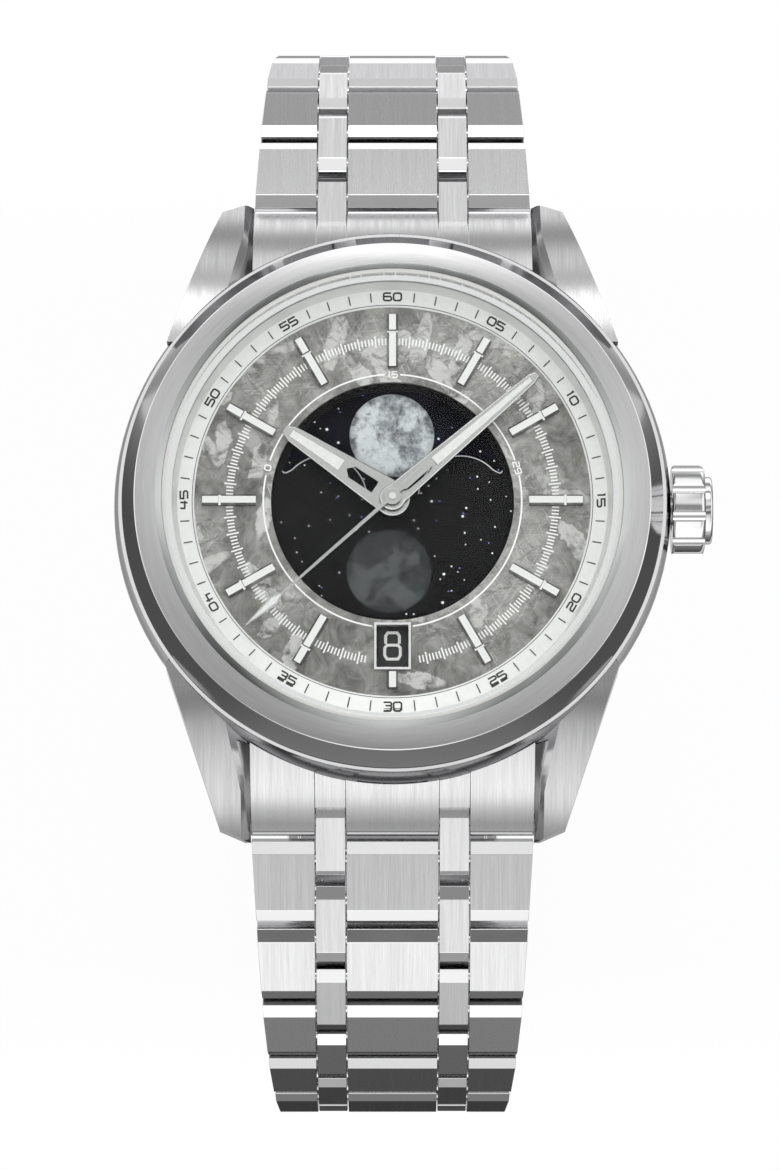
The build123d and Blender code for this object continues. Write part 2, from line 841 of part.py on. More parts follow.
with BuildPart() as date_frame:
    with BuildSketch(Plane.XY.offset(dial_top)):
        with Locations((0, -date_r)):
            Rectangle(date_frame_wide, date_frame_long)
            Rectangle(
                date_frame_wide - 2 * date_frame_bar,
                date_frame_long - 2 * date_frame_bar,
                mode=Mode.SUBTRACT,
            )
    extrude(amount=date_frame_high)
save(date_frame, "date_frame")

# Moon plate: a smoked plate under the dial with the two-humped moon window
with BuildPart() as moon_plate:
    with BuildSketch(Plane.XY.offset(dial_low - moon_plate_thick)):
        Circle(moon_plate_r)
        with BuildSketch(mode=Mode.PRIVATE) as window:
            with Locations((0, moon_window_r / 2 + moon_hump_y)):
                Rectangle(2 * moon_window_r + overrun, moon_window_r)
            Circle(moon_window_r, mode=Mode.INTERSECT)
            with Locations((moon_hump_x, moon_hump_y), (-moon_hump_x, moon_hump_y)):
                Circle(moon_hump_r, mode=Mode.SUBTRACT)
            # The window's outer ends stop short of the line that the two humps stand on.
            for side in (-1, 1):
                with Locations((side * (moon_hump_x + moon_window_r / 2), 0)):
                    Rectangle(moon_window_r, 2 * moon_tip_y, mode=Mode.SUBTRACT)
            Circle(moon_collar_r, mode=Mode.SUBTRACT)
        add(window.faces().sort_by(SortBy.AREA)[-1], mode=Mode.SUBTRACT)
        Circle(hour_pipe_r + run_gap, mode=Mode.SUBTRACT)
    extrude(amount=moon_plate_thick)
save(moon_plate, "moon_plate")

# Moon disc: carries two moons past the window and has a ring of saw teeth for its finger
with BuildPart() as moon_disc:
    with BuildSketch(Plane.XY.offset(moon_disc_low)):
        tooth_step = 360 / moon_teeth
        outline = []
        for t in range(moon_teeth):
            outline.append(polar(moon_disc_r, t * tooth_step))
            outline.append(polar(moon_disc_r - moon_tooth_high, (t + 0.5) * tooth_step))
        Polygon(*outline)
        Circle(hour_pipe_r + run_gap, mode=Mode.SUBTRACT)
    extrude(amount=moon_disc_thick)
save(moon_disc, "moon_disc")

with BuildPart() as date_ring:
    with BuildSketch(Plane.XY.offset(date_ring_low)):
        Circle(date_ring_r)
        Circle(date_ring_inner_r, mode=Mode.SUBTRACT)
        tooth_tip_r = date_ring_inner_r - date_tooth_high
        for t in range(date_teeth):
            at = 360 * t / date_teeth
            Polygon(
                polar(date_ring_inner_r + press_gap, at - date_tooth_half_deg),
                polar(tooth_tip_r, at),
                polar(date_ring_inner_r + press_gap, at + date_tooth_half_deg),
            )
    extrude(amount=date_ring_thick)
save(date_ring, "date_ring")


# Hands
def blade_outline(hub_r, base_s, base_half, shoulder_s, shoulder_half, length, tip_half):
    Circle(hub_r)
    Polygon(
        (base_s, -base_half),
        (shoulder_s, -shoulder_half),
        (length, -tip_half),
        (length, tip_half),
        (shoulder_s, shoulder_half),
        (base_s, base_half),
        (0, base_half * base_half / hub_r),
        (0, -base_half * base_half / hub_r),
    )


def tapered_slot(start, start_half, end, end_half, mode):
    Polygon((start, -start_half), (end, -end_half), (end, end_half), (start, start_half), mode=mode)


def pointed_window(start, end, half, mode):
    shoulder = end - half
    Polygon((start, -half), (shoulder, -half), (end, 0), (shoulder, half), (start, half), mode=mode)


with BuildPart() as hour_hand:
    with BuildSketch(clock_plane(hour_angle, hour_hand_low)):
        blade_outline(
            hour_hub_r,
            hour_base_s,
            hour_base_half,
            hour_shoulder_s,
            hour_shoulder_half,
            hour_long,
            hour_tip_half,
        )
        tapered_slot(
            hour_slot_start, hour_slot_start_half, hour_slot_end, hour_slot_end_half, Mode.SUBTRACT
        )
        pointed_window(hour_window_start, hour_window_end, hour_window_half, Mode.SUBTRACT)
        Circle(hour_pipe_r, mode=Mode.SUBTRACT)
    extrude(amount=hand_thick)
    chamfer(hour_hand.faces().sort_by(Axis.Z)[-1].outer_wire().edges(), length=hand_edge)
save(hour_hand, "hour_hand")

with BuildPart() as hour_hand_inlay:
    with BuildSketch(clock_plane(hour_angle, hour_hand_low)):
        tapered_slot(
            hour_slot_start, hour_slot_start_half, hour_slot_end, hour_slot_end_half, Mode.ADD
        )
    extrude(amount=hand_thick)
save(hour_hand_inlay, "hour_hand_inlay")

with BuildPart() as minute_hand:
    with BuildSketch(clock_plane(minute_angle, minute_hand_low)):
        blade_outline(
            minute_hub_r,
            minute_base_s,
            minute_base_half,
            minute_shoulder_s,
            minute_shoulder_half,
            minute_long,
            minute_tip_half,
        )
        tapered_slot(
            minute_slot_start,
            minute_slot_start_half,
            minute_slot_end,
            minute_slot_end_half,
            Mode.SUBTRACT,
        )
        pointed_window(minute_window_start, minute_window_end, minute_window_half, Mode.SUBTRACT)
        Circle(cannon_r, mode=Mode.SUBTRACT)
    extrude(amount=hand_thick)
    chamfer(minute_hand.faces().sort_by(Axis.Z)[-1].outer_wire().edges(), length=hand_edge)
save(minute_hand, "minute_hand")

with BuildPart() as minute_hand_inlay:
    with BuildSketch(clock_plane(minute_angle, minute_hand_low)):
        tapered_slot(
            minute_slot_start,
            minute_slot_start_half,
            minute_slot_end,
            minute_slot_end_half,
            Mode.ADD,
        )
    extrude(amount=hand_thick)
save(minute_hand_inlay, "minute_hand_inlay")


def second_head(margin, mode):
    half = second_head_half - margin * second_head_half / second_head_wide_s * 2
    Polygon(
        (second_head_start + margin, 0),
        (second_head_wide_s, -half + margin / 2),
        (second_long - margin * 2, 0),
        (second_head_wide_s, half - margin / 2),
        mode=mode,
    )


with BuildPart() as second_hand:
    with BuildSketch(clock_plane(second_angle, second_hand_low)):
        Circle(second_hub_r)
        Polygon(
            (-second_tail_start - second_tail_half, -second_half),
            (second_long - second_inlay_margin, -second_half / 2),
            (second_long - second_inlay_margin, second_half / 2),
            (-second_tail_start - second_tail_half, second_half),
        )
        second_head(0, Mode.ADD)
        second_head(second_inlay_margin, Mode.SUBTRACT)
        with Locations((-(second_tail + second_tail_start) / 2, 0)):
            SlotOverall(second_tail - second_tail_start, 2 * second_tail_half)
        Circle(seconds_arbor_r, mode=Mode.SUBTRACT)
    extrude(amount=second_hand_thick)
save(second_hand, "second_hand")

with BuildPart() as second_hand_inlay:
    with BuildSketch(clock_plane(second_angle, second_hand_low)):
        second_head(second_inlay_margin, Mode.ADD)
    extrude(amount=second_hand_thick)
save(second_hand_inlay, "second_hand_inlay")


# Toothed wheels
def wheel_outline(teeth, module, phase):
    # A wheel's outline with straight-sided teeth; phase turns it by that share of a tooth.
    pitch = 360 / teeth
    tip_r = module * (teeth + tooth_tip_share) / 2
    root_r = module * (teeth - tooth_root_share) / 2
    outline = []
    for t in range(teeth):
        at = (t + phase) * pitch
        outline.append(polar(root_r, at - pitch * tooth_root_half_share))
        outline.append(polar(tip_r, at - pitch * tooth_tip_half_share))
        outline.append(polar(tip_r, at + pitch * tooth_tip_half_share))
        outline.append(polar(root_r, at + pitch * tooth_root_half_share))
    return outline


def mesh_phase(teeth, bearing_back):
    # The share of a tooth that puts a gap of this wheel at the given bearing.
    return (bearing_back * teeth / 360 + 0.5) % 1


def rod(radius, low, high, at=(0, 0), mode=Mode.ADD):
    with BuildSketch(Plane.XY.offset(low)) as section:
        with Locations(at):
            Circle(radius)
    extrude(section.sketch, amount=high - low, mode=mode)


def placed_wheel(teeth, module, low, thick, at=(0, 0), phase=0):
    with BuildSketch(Plane.XY.offset(low)) as section:
        with Locations(at):
            Polygon(*wheel_outline(teeth, module, phase))
    extrude(section.sketch, amount=thick)


third_distance = train_module * (third_wheel_teeth + pinion_leaves) / 2
fifth_distance = motor_module * (second_wheel_teeth + pinion_leaves) / 2
rotor_distance = motor_module * (fifth_wheel_teeth + pinion_leaves) / 2
motion_distance = train_module * (cannon_leaves + minute_wheel_teeth) / 2
third_at = polar(third_distance, third_bearing)
fifth_at = polar(fifth_distance, fifth_bearing)
rotor_at = polar(fifth_distance + rotor_distance, fifth_bearing)
motion_at = polar(motion_distance, motion_bearing)

# Main plate: a rim for the date ring, a recess for the motion work, a skirt and three pillars
with BuildPart() as main_plate:
    with BuildSketch(Plane.XY.offset(plate_low)):
        Circle(plate_r)
    extrude(amount=plate_top - plate_low)
    with BuildSketch(Plane.XY.offset(moon_disc_low - slide_gap)):
        Circle(date_ring_inner_r - slide_gap)
    extrude(amount=overrun, mode=Mode.SUBTRACT)
    with BuildSketch(Plane.XY.offset(plate_recess)):
        Circle(recess_r)
    extrude(amount=overrun, mode=Mode.SUBTRACT)
    with BuildSketch(Plane.XY.offset(skirt_low)):
        Circle(plate_r)
        Circle(plate_r - skirt_wall, mode=Mode.SUBTRACT)
    extrude(amount=plate_low - skirt_low)
    for bearing in pillar_angles:
        rod(pillar_r, bridge_top, plate_low, polar(pillar_centre_r, bearing))
    rod(arbor_r, plate_recess, hour_wheel_low + wheel_thick, motion_at)
    rod(cannon_r + run_gap, plate_low - overrun, plate_top, mode=Mode.SUBTRACT)
    for at in (third_at, fifth_at, rotor_at):
        rod(jewel_bore_r, plate_low, plate_low + 2 * wheel_thick, at, Mode.SUBTRACT)
    with BuildSketch(Plane.YZ.offset(plate_r - 2 * skirt_wall)):
        with Locations((0, crown_height)):
            Circle(tube_bore_r)
    extrude(amount=case_r, mode=Mode.SUBTRACT)
    # The stem runs through a bearing block under the plate.
    with BuildSketch(Plane.YZ.offset(stem_block_start)):
        with Locations((0, (stem_block_low + plate_low) / 2)):
            Rectangle(2 * stem_block_half, plate_low - stem_block_low)
        with Locations((0, crown_height)):
            Circle(stem_r + run_gap, mode=Mode.SUBTRACT)
    extrude(amount=stem_block_long)
save(main_plate, "main_plate")

# Train bridge: one arm to each pillar and an eye for each pivot
with BuildPart() as train_bridge:
    with BuildSketch(Plane.XY.offset(bridge_low)):
        for bearing in pillar_angles:
            far = polar(pillar_centre_r, bearing)
            with Locations(far):
                Circle(pillar_r)
            with Locations((far[0] / 2, far[1] / 2)):
                Rectangle(pillar_centre_r, 2 * pillar_r, rotation=bearing)
        for at in ((0, 0), third_at, fifth_at, rotor_at):
            with Locations(at):
                Circle(bridge_hub_r)
        for bearing in (third_bearing, fifth_bearing):
            reach = fifth_distance + rotor_distance if bearing == fifth_bearing else third_distance
            with Locations(polar(reach / 2, bearing)):
                Rectangle(reach, 2 * pillar_r, rotation=bearing)
    extrude(amount=bridge_thick)
    for at in ((0, 0), third_at, fifth_at, rotor_at):
        rod(jewel_bore_r, bridge_low - overrun, bridge_top + overrun, at, Mode.SUBTRACT)
save(train_bridge, "train_bridge")

with BuildPart() as power_cell:
    with BuildSketch(Plane.XY.offset(plate_low - cell_thick)):
        with Locations((cell_x, cell_y)):
            Circle(cell_r)
    extrude(amount=cell_thick)
    with BuildSketch(Plane.XY.offset(plate_low - cell_thick)):
        with Locations((cell_x, cell_y)):
            Circle(cell_r + overrun)
            Circle(cell_r - cell_rim, mode=Mode.SUBTRACT)
    extrude(amount=cell_rim, mode=Mode.SUBTRACT)
save(power_cell, "power_cell")

# Step motor: the stator plate round the rotor, its core and the coil wound on it
with BuildPart() as motor_coil:
    left_foot = (coil_start - foot_r, coil_y)
    right_foot = (coil_end + foot_r, coil_y)
    with BuildSketch(Plane.XY.offset(stator_low)):
        with Locations(left_foot, right_foot):
            Circle(foot_r)
        with Locations(rotor_at):
            Circle(stator_ring_r)
        for foot in (left_foot, right_foot):
            span = hypot(foot[0] - rotor_at[0], foot[1] - rotor_at[1])
            tilt = degrees(atan2(foot[1] - rotor_at[1], foot[0] - rotor_at[0]))
            with Locations(((foot[0] + rotor_at[0]) / 2, (foot[1] + rotor_at[1]) / 2)):
                Rectangle(span, 2 * foot_r, rotation=tilt)
        with Locations(rotor_at):
            Circle(stator_bore_r, mode=Mode.SUBTRACT)
        # The stator is cut through between its two poles, as a motor's is.
        with Locations(((left_foot[0] + right_foot[0]) / 2, coil_y)):
            Rectangle(coil_end - coil_start, 2 * (coil_r + seat_gap), mode=Mode.SUBTRACT)
    extrude(amount=stator_thick)
    core_mid = stator_low + stator_thick / 2
    with BuildSketch(Plane.YZ.offset(coil_start)):
        with Locations((coil_y, core_mid)):
            Circle(coil_r)
            Circle(core_half, mode=Mode.SUBTRACT)
    extrude(amount=coil_end - coil_start)
    with BuildSketch(Plane.YZ.offset(coil_start - foot_r)):
        with Locations((coil_y, core_mid)):
            Circle(core_half - run_gap)
    extrude(amount=coil_end - coil_start + 2 * foot_r)
save(motor_coil, "motor_coil")

with BuildPart() as rotor:
    rod(rotor_r, rotor_low, rotor_high, rotor_at)
    rod(pivot_r, bridge_low, plate_low + wheel_thick, rotor_at)
    phase = mesh_phase(pinion_leaves, fifth_bearing + 180)
    placed_wheel(
        pinion_leaves, motor_module, fifth_wheel_low - slide_gap, rotor_pinion_long, rotor_at, phase
    )
save(rotor, "rotor")

with BuildPart() as fifth_wheel:
    placed_wheel(fifth_wheel_teeth, motor_module, fifth_wheel_low, wheel_thick, fifth_at)
    placed_wheel(
        pinion_leaves,
        motor_module,
        fifth_wheel_low + wheel_thick,
        second_wheel_low + 2 * wheel_thick - fifth_wheel_low - wheel_thick,
        fifth_at,
        mesh_phase(pinion_leaves, fifth_bearing + 180),
    )
    rod(pivot_r, bridge_low, plate_low + wheel_thick, fifth_at)
save(fifth_wheel, "fifth_wheel")

# Seconds wheel: its long arbor carries the seconds hand through the cannon pipe
with BuildPart() as second_wheel:
    placed_wheel(second_wheel_teeth, motor_module, second_wheel_low, wheel_thick)
    placed_wheel(
        pinion_leaves,
        train_module,
        second_pinion_low,
        second_pinion_high - second_pinion_low,
        phase=mesh_phase(pinion_leaves, third_bearing),
    )
    rod(arbor_r, second_wheel_low, second_pinion_low)
    rod(seconds_arbor_r, bridge_low, second_hand_low + second_hand_thick)
    cap_low = second_hand_low + second_hand_thick
    rod(cap_r, cap_low, cap_low + cap_high)
save(second_wheel, "second_wheel")

with BuildPart() as third_wheel:
    placed_wheel(third_wheel_teeth, train_module, third_wheel_low, wheel_thick, third_at)
    placed_wheel(
        pinion_leaves,
        third_pinion_module,
        third_wheel_low + wheel_thick,
        third_pinion_high - third_wheel_low - wheel_thick,
        third_at,
        mesh_phase(pinion_leaves, third_bearing + 180),
    )
    rod(pivot_r, bridge_low, plate_low + wheel_thick, third_at)
save(third_wheel, "third_wheel")

# Centre wheel: its pipe, the cannon pinion, carries the minute hand
with BuildPart() as centre_wheel:
    placed_wheel(centre_wheel_teeth, third_pinion_module, centre_wheel_low, wheel_thick)
    rod(hub_r, centre_wheel_low + wheel_thick, plate_low - slide_gap)
    rod(cannon_r, centre_wheel_low, minute_hand_low + hand_thick)
    placed_wheel(
        cannon_leaves,
        train_module,
        plate_recess + slide_gap,
        hour_wheel_low - plate_recess - 2 * slide_gap,
        phase=mesh_phase(cannon_leaves, motion_bearing),
    )
    rod(cannon_bore_r, centre_wheel_low - overrun, minute_hand_low + overrun, mode=Mode.SUBTRACT)
save(centre_wheel, "centre_wheel")

with BuildPart() as minute_wheel:
    placed_wheel(minute_wheel_teeth, train_module, minute_wheel_low, wheel_thick, motion_at)
    placed_wheel(
        pinion_leaves,
        motion_module,
        minute_wheel_low + wheel_thick,
        hour_wheel_low + wheel_thick - minute_wheel_low - wheel_thick,
        motion_at,
        mesh_phase(pinion_leaves, motion_bearing + 180),
    )
    bore_top = hour_wheel_low + overrun
    rod(arbor_r + run_gap, minute_wheel_low - overrun, bore_top, motion_at, Mode.SUBTRACT)
save(minute_wheel, "minute_wheel")

# Hour wheel: its pipe carries the hour hand and is the bearing of the moon disc
with BuildPart() as hour_wheel:
    phase = motion_bearing * hour_wheel_teeth / 360 % 1
    placed_wheel(hour_wheel_teeth, motion_module, hour_wheel_low, wheel_thick, phase=phase)
    rod(hour_pipe_r, hour_wheel_low, hour_hand_low + hand_thick)
    rod(hour_pipe_bore_r, hour_wheel_low - overrun, hour_hand_low + overrun, mode=Mode.SUBTRACT)
save(hour_wheel, "hour_wheel")


# Bracelet
def link_plane(side, centre, angle, x=0):
    # u runs outward along the bracelet, v out of the loop, and the normal across it.
    u = heading(angle)
    return Plane(
        origin=(x, side * centre[0], centre[1]), x_dir=(0, side * u[0], u[1]), z_dir=(side, 0, 0)
    )


def block(side, centre, angle, x_low, x_high):
    # One piece of the bracelet: a flat top with a bevel at each end over two rounded ends.
    pin_at = pin_step / 2
    end = pin_at + link_end_r
    knee = link_end_r * cos(radians(45))
    with BuildSketch(link_plane(side, centre, angle, x_low)) as section:
        with BuildLine():
            Polyline(
                (-end, 0),
                (-end, link_top - link_bevel_drop),
                (-end + link_bevel_run, link_top),
                (end - link_bevel_run, link_top),
                (end, link_top - link_bevel_drop),
                (end, 0),
            )
            ThreePointArc((end, 0), (pin_at + knee, -knee), (pin_at, -link_end_r))
            Line((pin_at, -link_end_r), (-pin_at, -link_end_r))
            ThreePointArc((-pin_at, -link_end_r), (-pin_at - knee, -knee), (-end, 0))
        make_face()
    extrude(section.sketch, amount=x_high - x_low, dir=(1, 0, 0))


def across(radius, at, side, half_long, mode=Mode.ADD):
    with BuildSketch(Plane.YZ.offset(-half_long)) as section:
        with Locations((side * at[0], at[1])):
            Circle(radius)
    extrude(section.sketch, amount=2 * half_long, dir=(1, 0, 0), mode=mode)


def row_width(row):
    return max(end_width, head_width - taper_per_row * row)


def middle(a, b):
    return ((a[0] + b[0]) / 2, (a[1] + b[1]) / 2)


# The pins of one side, from the end link to the clasp: each row has an inner and an outer pin.
angles = list(row_angles)
joint_angles = [first_narrow_angle] + [
    (here + there) / 2 for here, there in zip(angles, angles[1:] + [clasp_angle])
]
inner_pins, outer_pins = [], [bar_centre]
for row, angle in enumerate(angles):
    inner_pins.append(step_from(outer_pins[-1], joint_angles[row], pin_step))
    outer_pins.append(step_from(inner_pins[-1], angle, pin_step))
clasp_pin = step_from(outer_pins[-1], joint_angles[-1], pin_step)
inner_pins.append(clasp_pin)
print("hinge pins", [(round(y, 3), round(z, 3)) for y, z in inner_pins])

# The narrow columns' end links stand a little below the wide ones.
end_top = (
    bar_centre[0] + end_end_r * cos(radians(end_top_angle)),
    bar_centre[1] + end_end_r * sin(radians(end_top_angle)),
)


def end_link_profile(side, x_low, lower, above):
    # The body of the end link, or with above the space over its top, lowered by a step.
    root = (side * end_link_root_y, end_link_root_height - lower)
    mid = (side * end_link_mid_y, end_link_mid_height - lower)
    top = (side * end_top[0], end_top[1] - lower)
    foot = (side * bar_centre[0], bar_centre[1] - end_end_r)
    nose = (side * (bar_centre[0] + end_end_r), bar_centre[1])
    beyond = side * (end_top[0] + overrun)
    over = case_top + overrun
    with BuildSketch(Plane.YZ.offset(x_low)) as section:
        with BuildLine():
            ThreePointArc(root, mid, top)
            if above:
                Polyline(top, (beyond, top[1]), (beyond, over), (root[0], over), root)
            else:
                ThreePointArc(top, nose, foot)
                Polyline(
                    foot,
                    (side * lug_shoulder_y, end_link_low),
                    (side * end_link_root_y, end_link_low),
                    root,
                )
        make_face()
    return section.sketch


def make_end_link(side):
    with BuildPart() as end_link:
        half = lug_gap_half - column_gap
        body = end_link_profile(side, -half, 0, False)
        extrude(body, amount=2 * half, dir=(1, 0, 0))
        for x_low in (-narrow_outer, centre_half):
            groove = end_link_profile(side, x_low, end_link_groove, True)
            extrude(groove, amount=narrow_wide, dir=(1, 0, 0), mode=Mode.SUBTRACT)
            # The first narrow piece swings in a slot of the end link.
            slot_plane = link_plane(side, bar_centre, first_narrow_angle, x_low)
            with BuildSketch(slot_plane):
                with Locations((row_pitch / 2 - link_end_r - seat_gap, 0)):
                    Rectangle(row_pitch, 2 * row_pitch)
            extrude(amount=side * narrow_wide, mode=Mode.SUBTRACT)
        with BuildSketch(Plane.XY.offset(lug_foot_height - overrun)):
            Circle(case_r + end_link_clear)
        extrude(amount=case_top + 4 * overrun, mode=Mode.SUBTRACT)
        across(bar_r + run_gap, bar_centre, side, half + overrun, Mode.SUBTRACT)
    with BuildPart() as first_narrow:
        narrow_pieces(side, middle(bar_centre, inner_pins[0]), first_narrow_angle)
        across(bar_r + run_gap, bar_centre, side, half, Mode.SUBTRACT)
        across(pin_r + run_gap, inner_pins[0], side, half, Mode.SUBTRACT)
    with BuildPart() as both:
        add(end_link.part)
        add(first_narrow.part)
    return both


def narrow_pieces(side, centre, angle):
    for x_low in (-narrow_outer, centre_half):
        block(side, centre, angle, x_low + column_gap, x_low + narrow_wide - column_gap)


def make_row(side, row):
    last = row == len(angles) - 1
    angle = angles[row]
    near, far, far_next = inner_pins[row], outer_pins[row + 1], inner_pins[row + 1]
    centre = middle(near, far)
    width, next_width = row_width(row), row_width(row + 1)
    with BuildPart() as wide_pieces:
        block(side, centre, angle, -centre_half + column_gap, centre_half - column_gap)
        for x_low, x_high in ((narrow_outer, width / 2), (-width / 2, -narrow_outer)):
            inset_low = column_gap if x_low > 0 else 0
            inset_high = 0 if x_low > 0 else column_gap
            block(side, centre, angle, x_low + inset_low, x_high - inset_high)
        # The outer pieces narrow towards the clasp.
        plane = link_plane(side, centre, angle)
        for hand in (-1, 1):
            near_edge = plane.from_local_coords((-row_pitch / 2, 0, 0))
            far_edge = plane.from_local_coords((row_pitch / 2, 0, 0))
            start = Vector(hand * width / 2, 0, 0) + near_edge
            finish = Vector(hand * next_width / 2, 0, 0) + far_edge
            normal = (finish - start).cross(plane.y_dir)
            if normal.X * hand < 0:
                normal = -normal
            split(bisect_by=Plane(origin=start, z_dir=normal), keep=Keep.BOTTOM)
    with BuildPart() as narrow:
        narrow_pieces(side, middle(far, far_next), joint_angles[row + 1])
    pin_half = next_width / 2 - pin_inset
    with BuildPart() as link_row:
        add(wide_pieces.part)
        add(narrow.part)
        for at in (near, far, far_next):
            across(pin_r + run_gap, at, side, head_width, Mode.SUBTRACT)
        for at in (near, far):
            across(pin_r, at, side, pin_half)
        if last and side < 0:
            # At the open pivot the spring bar stays in the last narrow pieces.
            across(pin_r, far_next, side, narrow_outer)
    return link_row


save(make_end_link(1), "upper_end_link")
save(make_end_link(-1), "lower_end_link")

with BuildPart() as spring_bars:
    for side in (1, -1):
        across(bar_r, bar_centre, side, lug_gap_half - column_gap)
        across(bar_tip_r, bar_centre, side, lug_gap_half + bar_tip_long)
save(spring_bars, "spring_bars")

for row in range(len(angles)):
    save(make_row(1, row), f"upper_row_{row + 1}")
for row in range(len(angles)):
    save(make_row(-1, row), f"lower_row_{row + 1}")

# Clasp: a folding buckle whose cover closes over two blades. v is measured out of the loop.
clasp_y, clasp_z = clasp_pin
cover_floor = clasp_z - cover_low - cover_thick
cover_start = -clasp_y + cover_end_gap
cover_end = clasp_y - cover_end_gap
bar_start = cover_end - cross_bar_long
fold_near = cover_end - fold_near_inset
fold_far = cover_start + fold_far_inset
fold_near_z = clasp_z - long_blade_drop - blade_thick / 2
fold_far_z = clasp_z + (short_blade_rise - long_blade_drop) / 2


def end_ears(y, x_spans, back, below):
    # Rounded ears about a hinge line at the clasp's end, reaching back to its middle part.
    for x_low, x_high in x_spans:
        with BuildSketch(Plane.YZ.offset(x_low)) as section:
            with Locations((y, clasp_z)):
                Circle(link_end_r)
            with Locations(((y + back) / 2, clasp_z + (link_end_r - below) / 2)):
                Rectangle(abs(back - y), link_end_r + below)
        extrude(section.sketch, amount=x_high - x_low, dir=(1, 0, 0))


ear_low = narrow_outer + column_gap
with BuildPart() as clasp_cover:
    with BuildSketch(Plane.YZ.offset(-end_half)):
        Polygon(
            (cover_start, clasp_z - cover_low),
            (cover_start, cover_floor + cover_bevel),
            (cover_start + cover_bevel, cover_floor),
            (cover_end - cover_bevel, cover_floor),
            (cover_end, cover_floor + cover_bevel),
            (cover_end, clasp_z - cover_low),
        )
    extrude(amount=2 * end_half)
    for x_low in (-end_half, end_half - cover_wall):
        with BuildSketch(Plane.YZ.offset(x_low)):
            with Locations((0, clasp_z + (cover_wall_rise - cover_low) / 2)):
                Rectangle(cover_end - cover_start, cover_low + cover_wall_rise)
        extrude(amount=cover_wall)
    # Bosses at the near fold carry its pin.
    for x_low in (-end_half + cover_wall, blade_half + column_gap):
        with BuildSketch(Plane.YZ.offset(x_low)):
            with Locations((fold_near, fold_near_z)):
                Circle(knuckle_r)
            with Locations((fold_near, (fold_near_z + clasp_z - cover_low) / 2)):
                Rectangle(2 * knuckle_r, fold_near_z - clasp_z + cover_low)
        extrude(amount=end_half - cover_wall - blade_half - column_gap)
    with BuildSketch(Plane.YZ.offset(-end_half - overrun)):
        with Locations((button_y, clasp_z + (cover_wall_rise - cover_low) / 2)):
            Rectangle(button_long + 2 * slide_gap, button_high + 2 * slide_gap)
    extrude(amount=2 * (end_half + overrun), mode=Mode.SUBTRACT)
with BuildPart() as fold_pin:
    with BuildSketch(Plane.YZ.offset(-end_half + cover_wall)):
        with Locations((fold_near, fold_near_z)):
            Circle(fold_pin_r)
    extrude(amount=2 * (end_half - cover_wall))
with BuildPart() as cover_with_pin:
    add(clasp_cover.part)
    add(fold_pin.part)
save(cover_with_pin, "clasp_cover")

# Two ears brazed to the cover's end hold the spring bar of the last row.
with BuildPart() as cover_ears:
    end_ears(
        -clasp_y,
        ((-end_half, -ear_low), (ear_low, end_half)),
        cover_start - braze_gap,
        link_end_r,
    )
    across(bar_tip_r, (clasp_y, clasp_z), -1, end_half + overrun, Mode.SUBTRACT)
save(cover_ears, "cover_ears")

with BuildPart() as clasp_long_blade:
    low = clasp_z - long_blade_drop - blade_thick
    with BuildSketch(Plane.XY.offset(low)):
        with Locations((0, (fold_near + fold_far + knuckle_r) / 2)):
            Rectangle(2 * blade_half, fold_near - fold_far - knuckle_r - 2 * seat_gap)
    extrude(amount=blade_thick)
    with BuildSketch(Plane.YZ.offset(-blade_half)):
        with Locations((fold_near, fold_near_z)):
            Circle(knuckle_r)
    extrude(amount=2 * blade_half)
    with BuildSketch(Plane.YZ.offset(-knuckle_half)):
        with Locations((fold_far, fold_far_z)):
            Circle(knuckle_r)
        Polygon(
            (fold_far, fold_far_z - knuckle_r),
            (fold_far + 2 * knuckle_r, low),
            (fold_far + 2 * knuckle_r, low + blade_thick),
            (fold_far, fold_far_z + knuckle_r / 2),
        )
    extrude(amount=2 * knuckle_half)
    for at, z in ((fold_near, fold_near_z), (fold_far, fold_far_z)):
        with BuildSketch(Plane.YZ.offset(-end_half)):
            with Locations((at, z)):
                Circle(fold_pin_r + run_gap)
        extrude(amount=2 * end_half, mode=Mode.SUBTRACT)
save(clasp_long_blade, "clasp_long_blade")

with BuildPart() as short_blade_body:
    blade_low = clasp_z + short_blade_rise
    bar_end = cover_end + blade_air
    with BuildSketch(Plane.XY.offset(blade_low)):
        with Locations((0, (fold_far + bar_start) / 2)):
            Rectangle(2 * blade_half, bar_start - fold_far + 2 * seat_gap)
    extrude(amount=blade_thick)
    # The bar lies between the cover's walls.
    with BuildSketch(Plane.XY.offset(clasp_z - cover_low + blade_air)):
        with Locations((0, (bar_start + bar_end) / 2)):
            Rectangle(2 * (end_half - cover_wall - blade_air), bar_end - bar_start)
    extrude(amount=blade_low + blade_thick - clasp_z + cover_low - blade_air)
    end_ears(
        clasp_y,
        (
            (-end_half, -ear_low),
            (-centre_half + column_gap, centre_half - column_gap),
            (ear_low, end_half),
        ),
        bar_end,
        cover_low - blade_air,
    )
    with BuildSketch(Plane.YZ.offset(-blade_half)):
        with Locations((fold_far, fold_far_z)):
            Circle(knuckle_r)
        with Locations((fold_far + knuckle_r, blade_low + blade_thick / 2)):
            Rectangle(2 * knuckle_r, blade_thick)
    extrude(amount=2 * blade_half)
    # The long blade's knuckle turns in the middle of this one's.
    with BuildSketch(Plane.XY.offset(fold_far_z - 2 * knuckle_r)):
        with Locations((0, fold_far)):
            Rectangle(2 * (knuckle_half + column_gap), 2 * (knuckle_r + seat_gap))
    extrude(amount=4 * knuckle_r, mode=Mode.SUBTRACT)
    for at, z, r in ((fold_far, fold_far_z, fold_pin_r), (clasp_y, clasp_z, pin_r)):
        with BuildSketch(Plane.YZ.offset(-end_half - overrun)):
            with Locations((at, z)):
                Circle(r + run_gap)
        extrude(amount=2 * (end_half + overrun), mode=Mode.SUBTRACT)
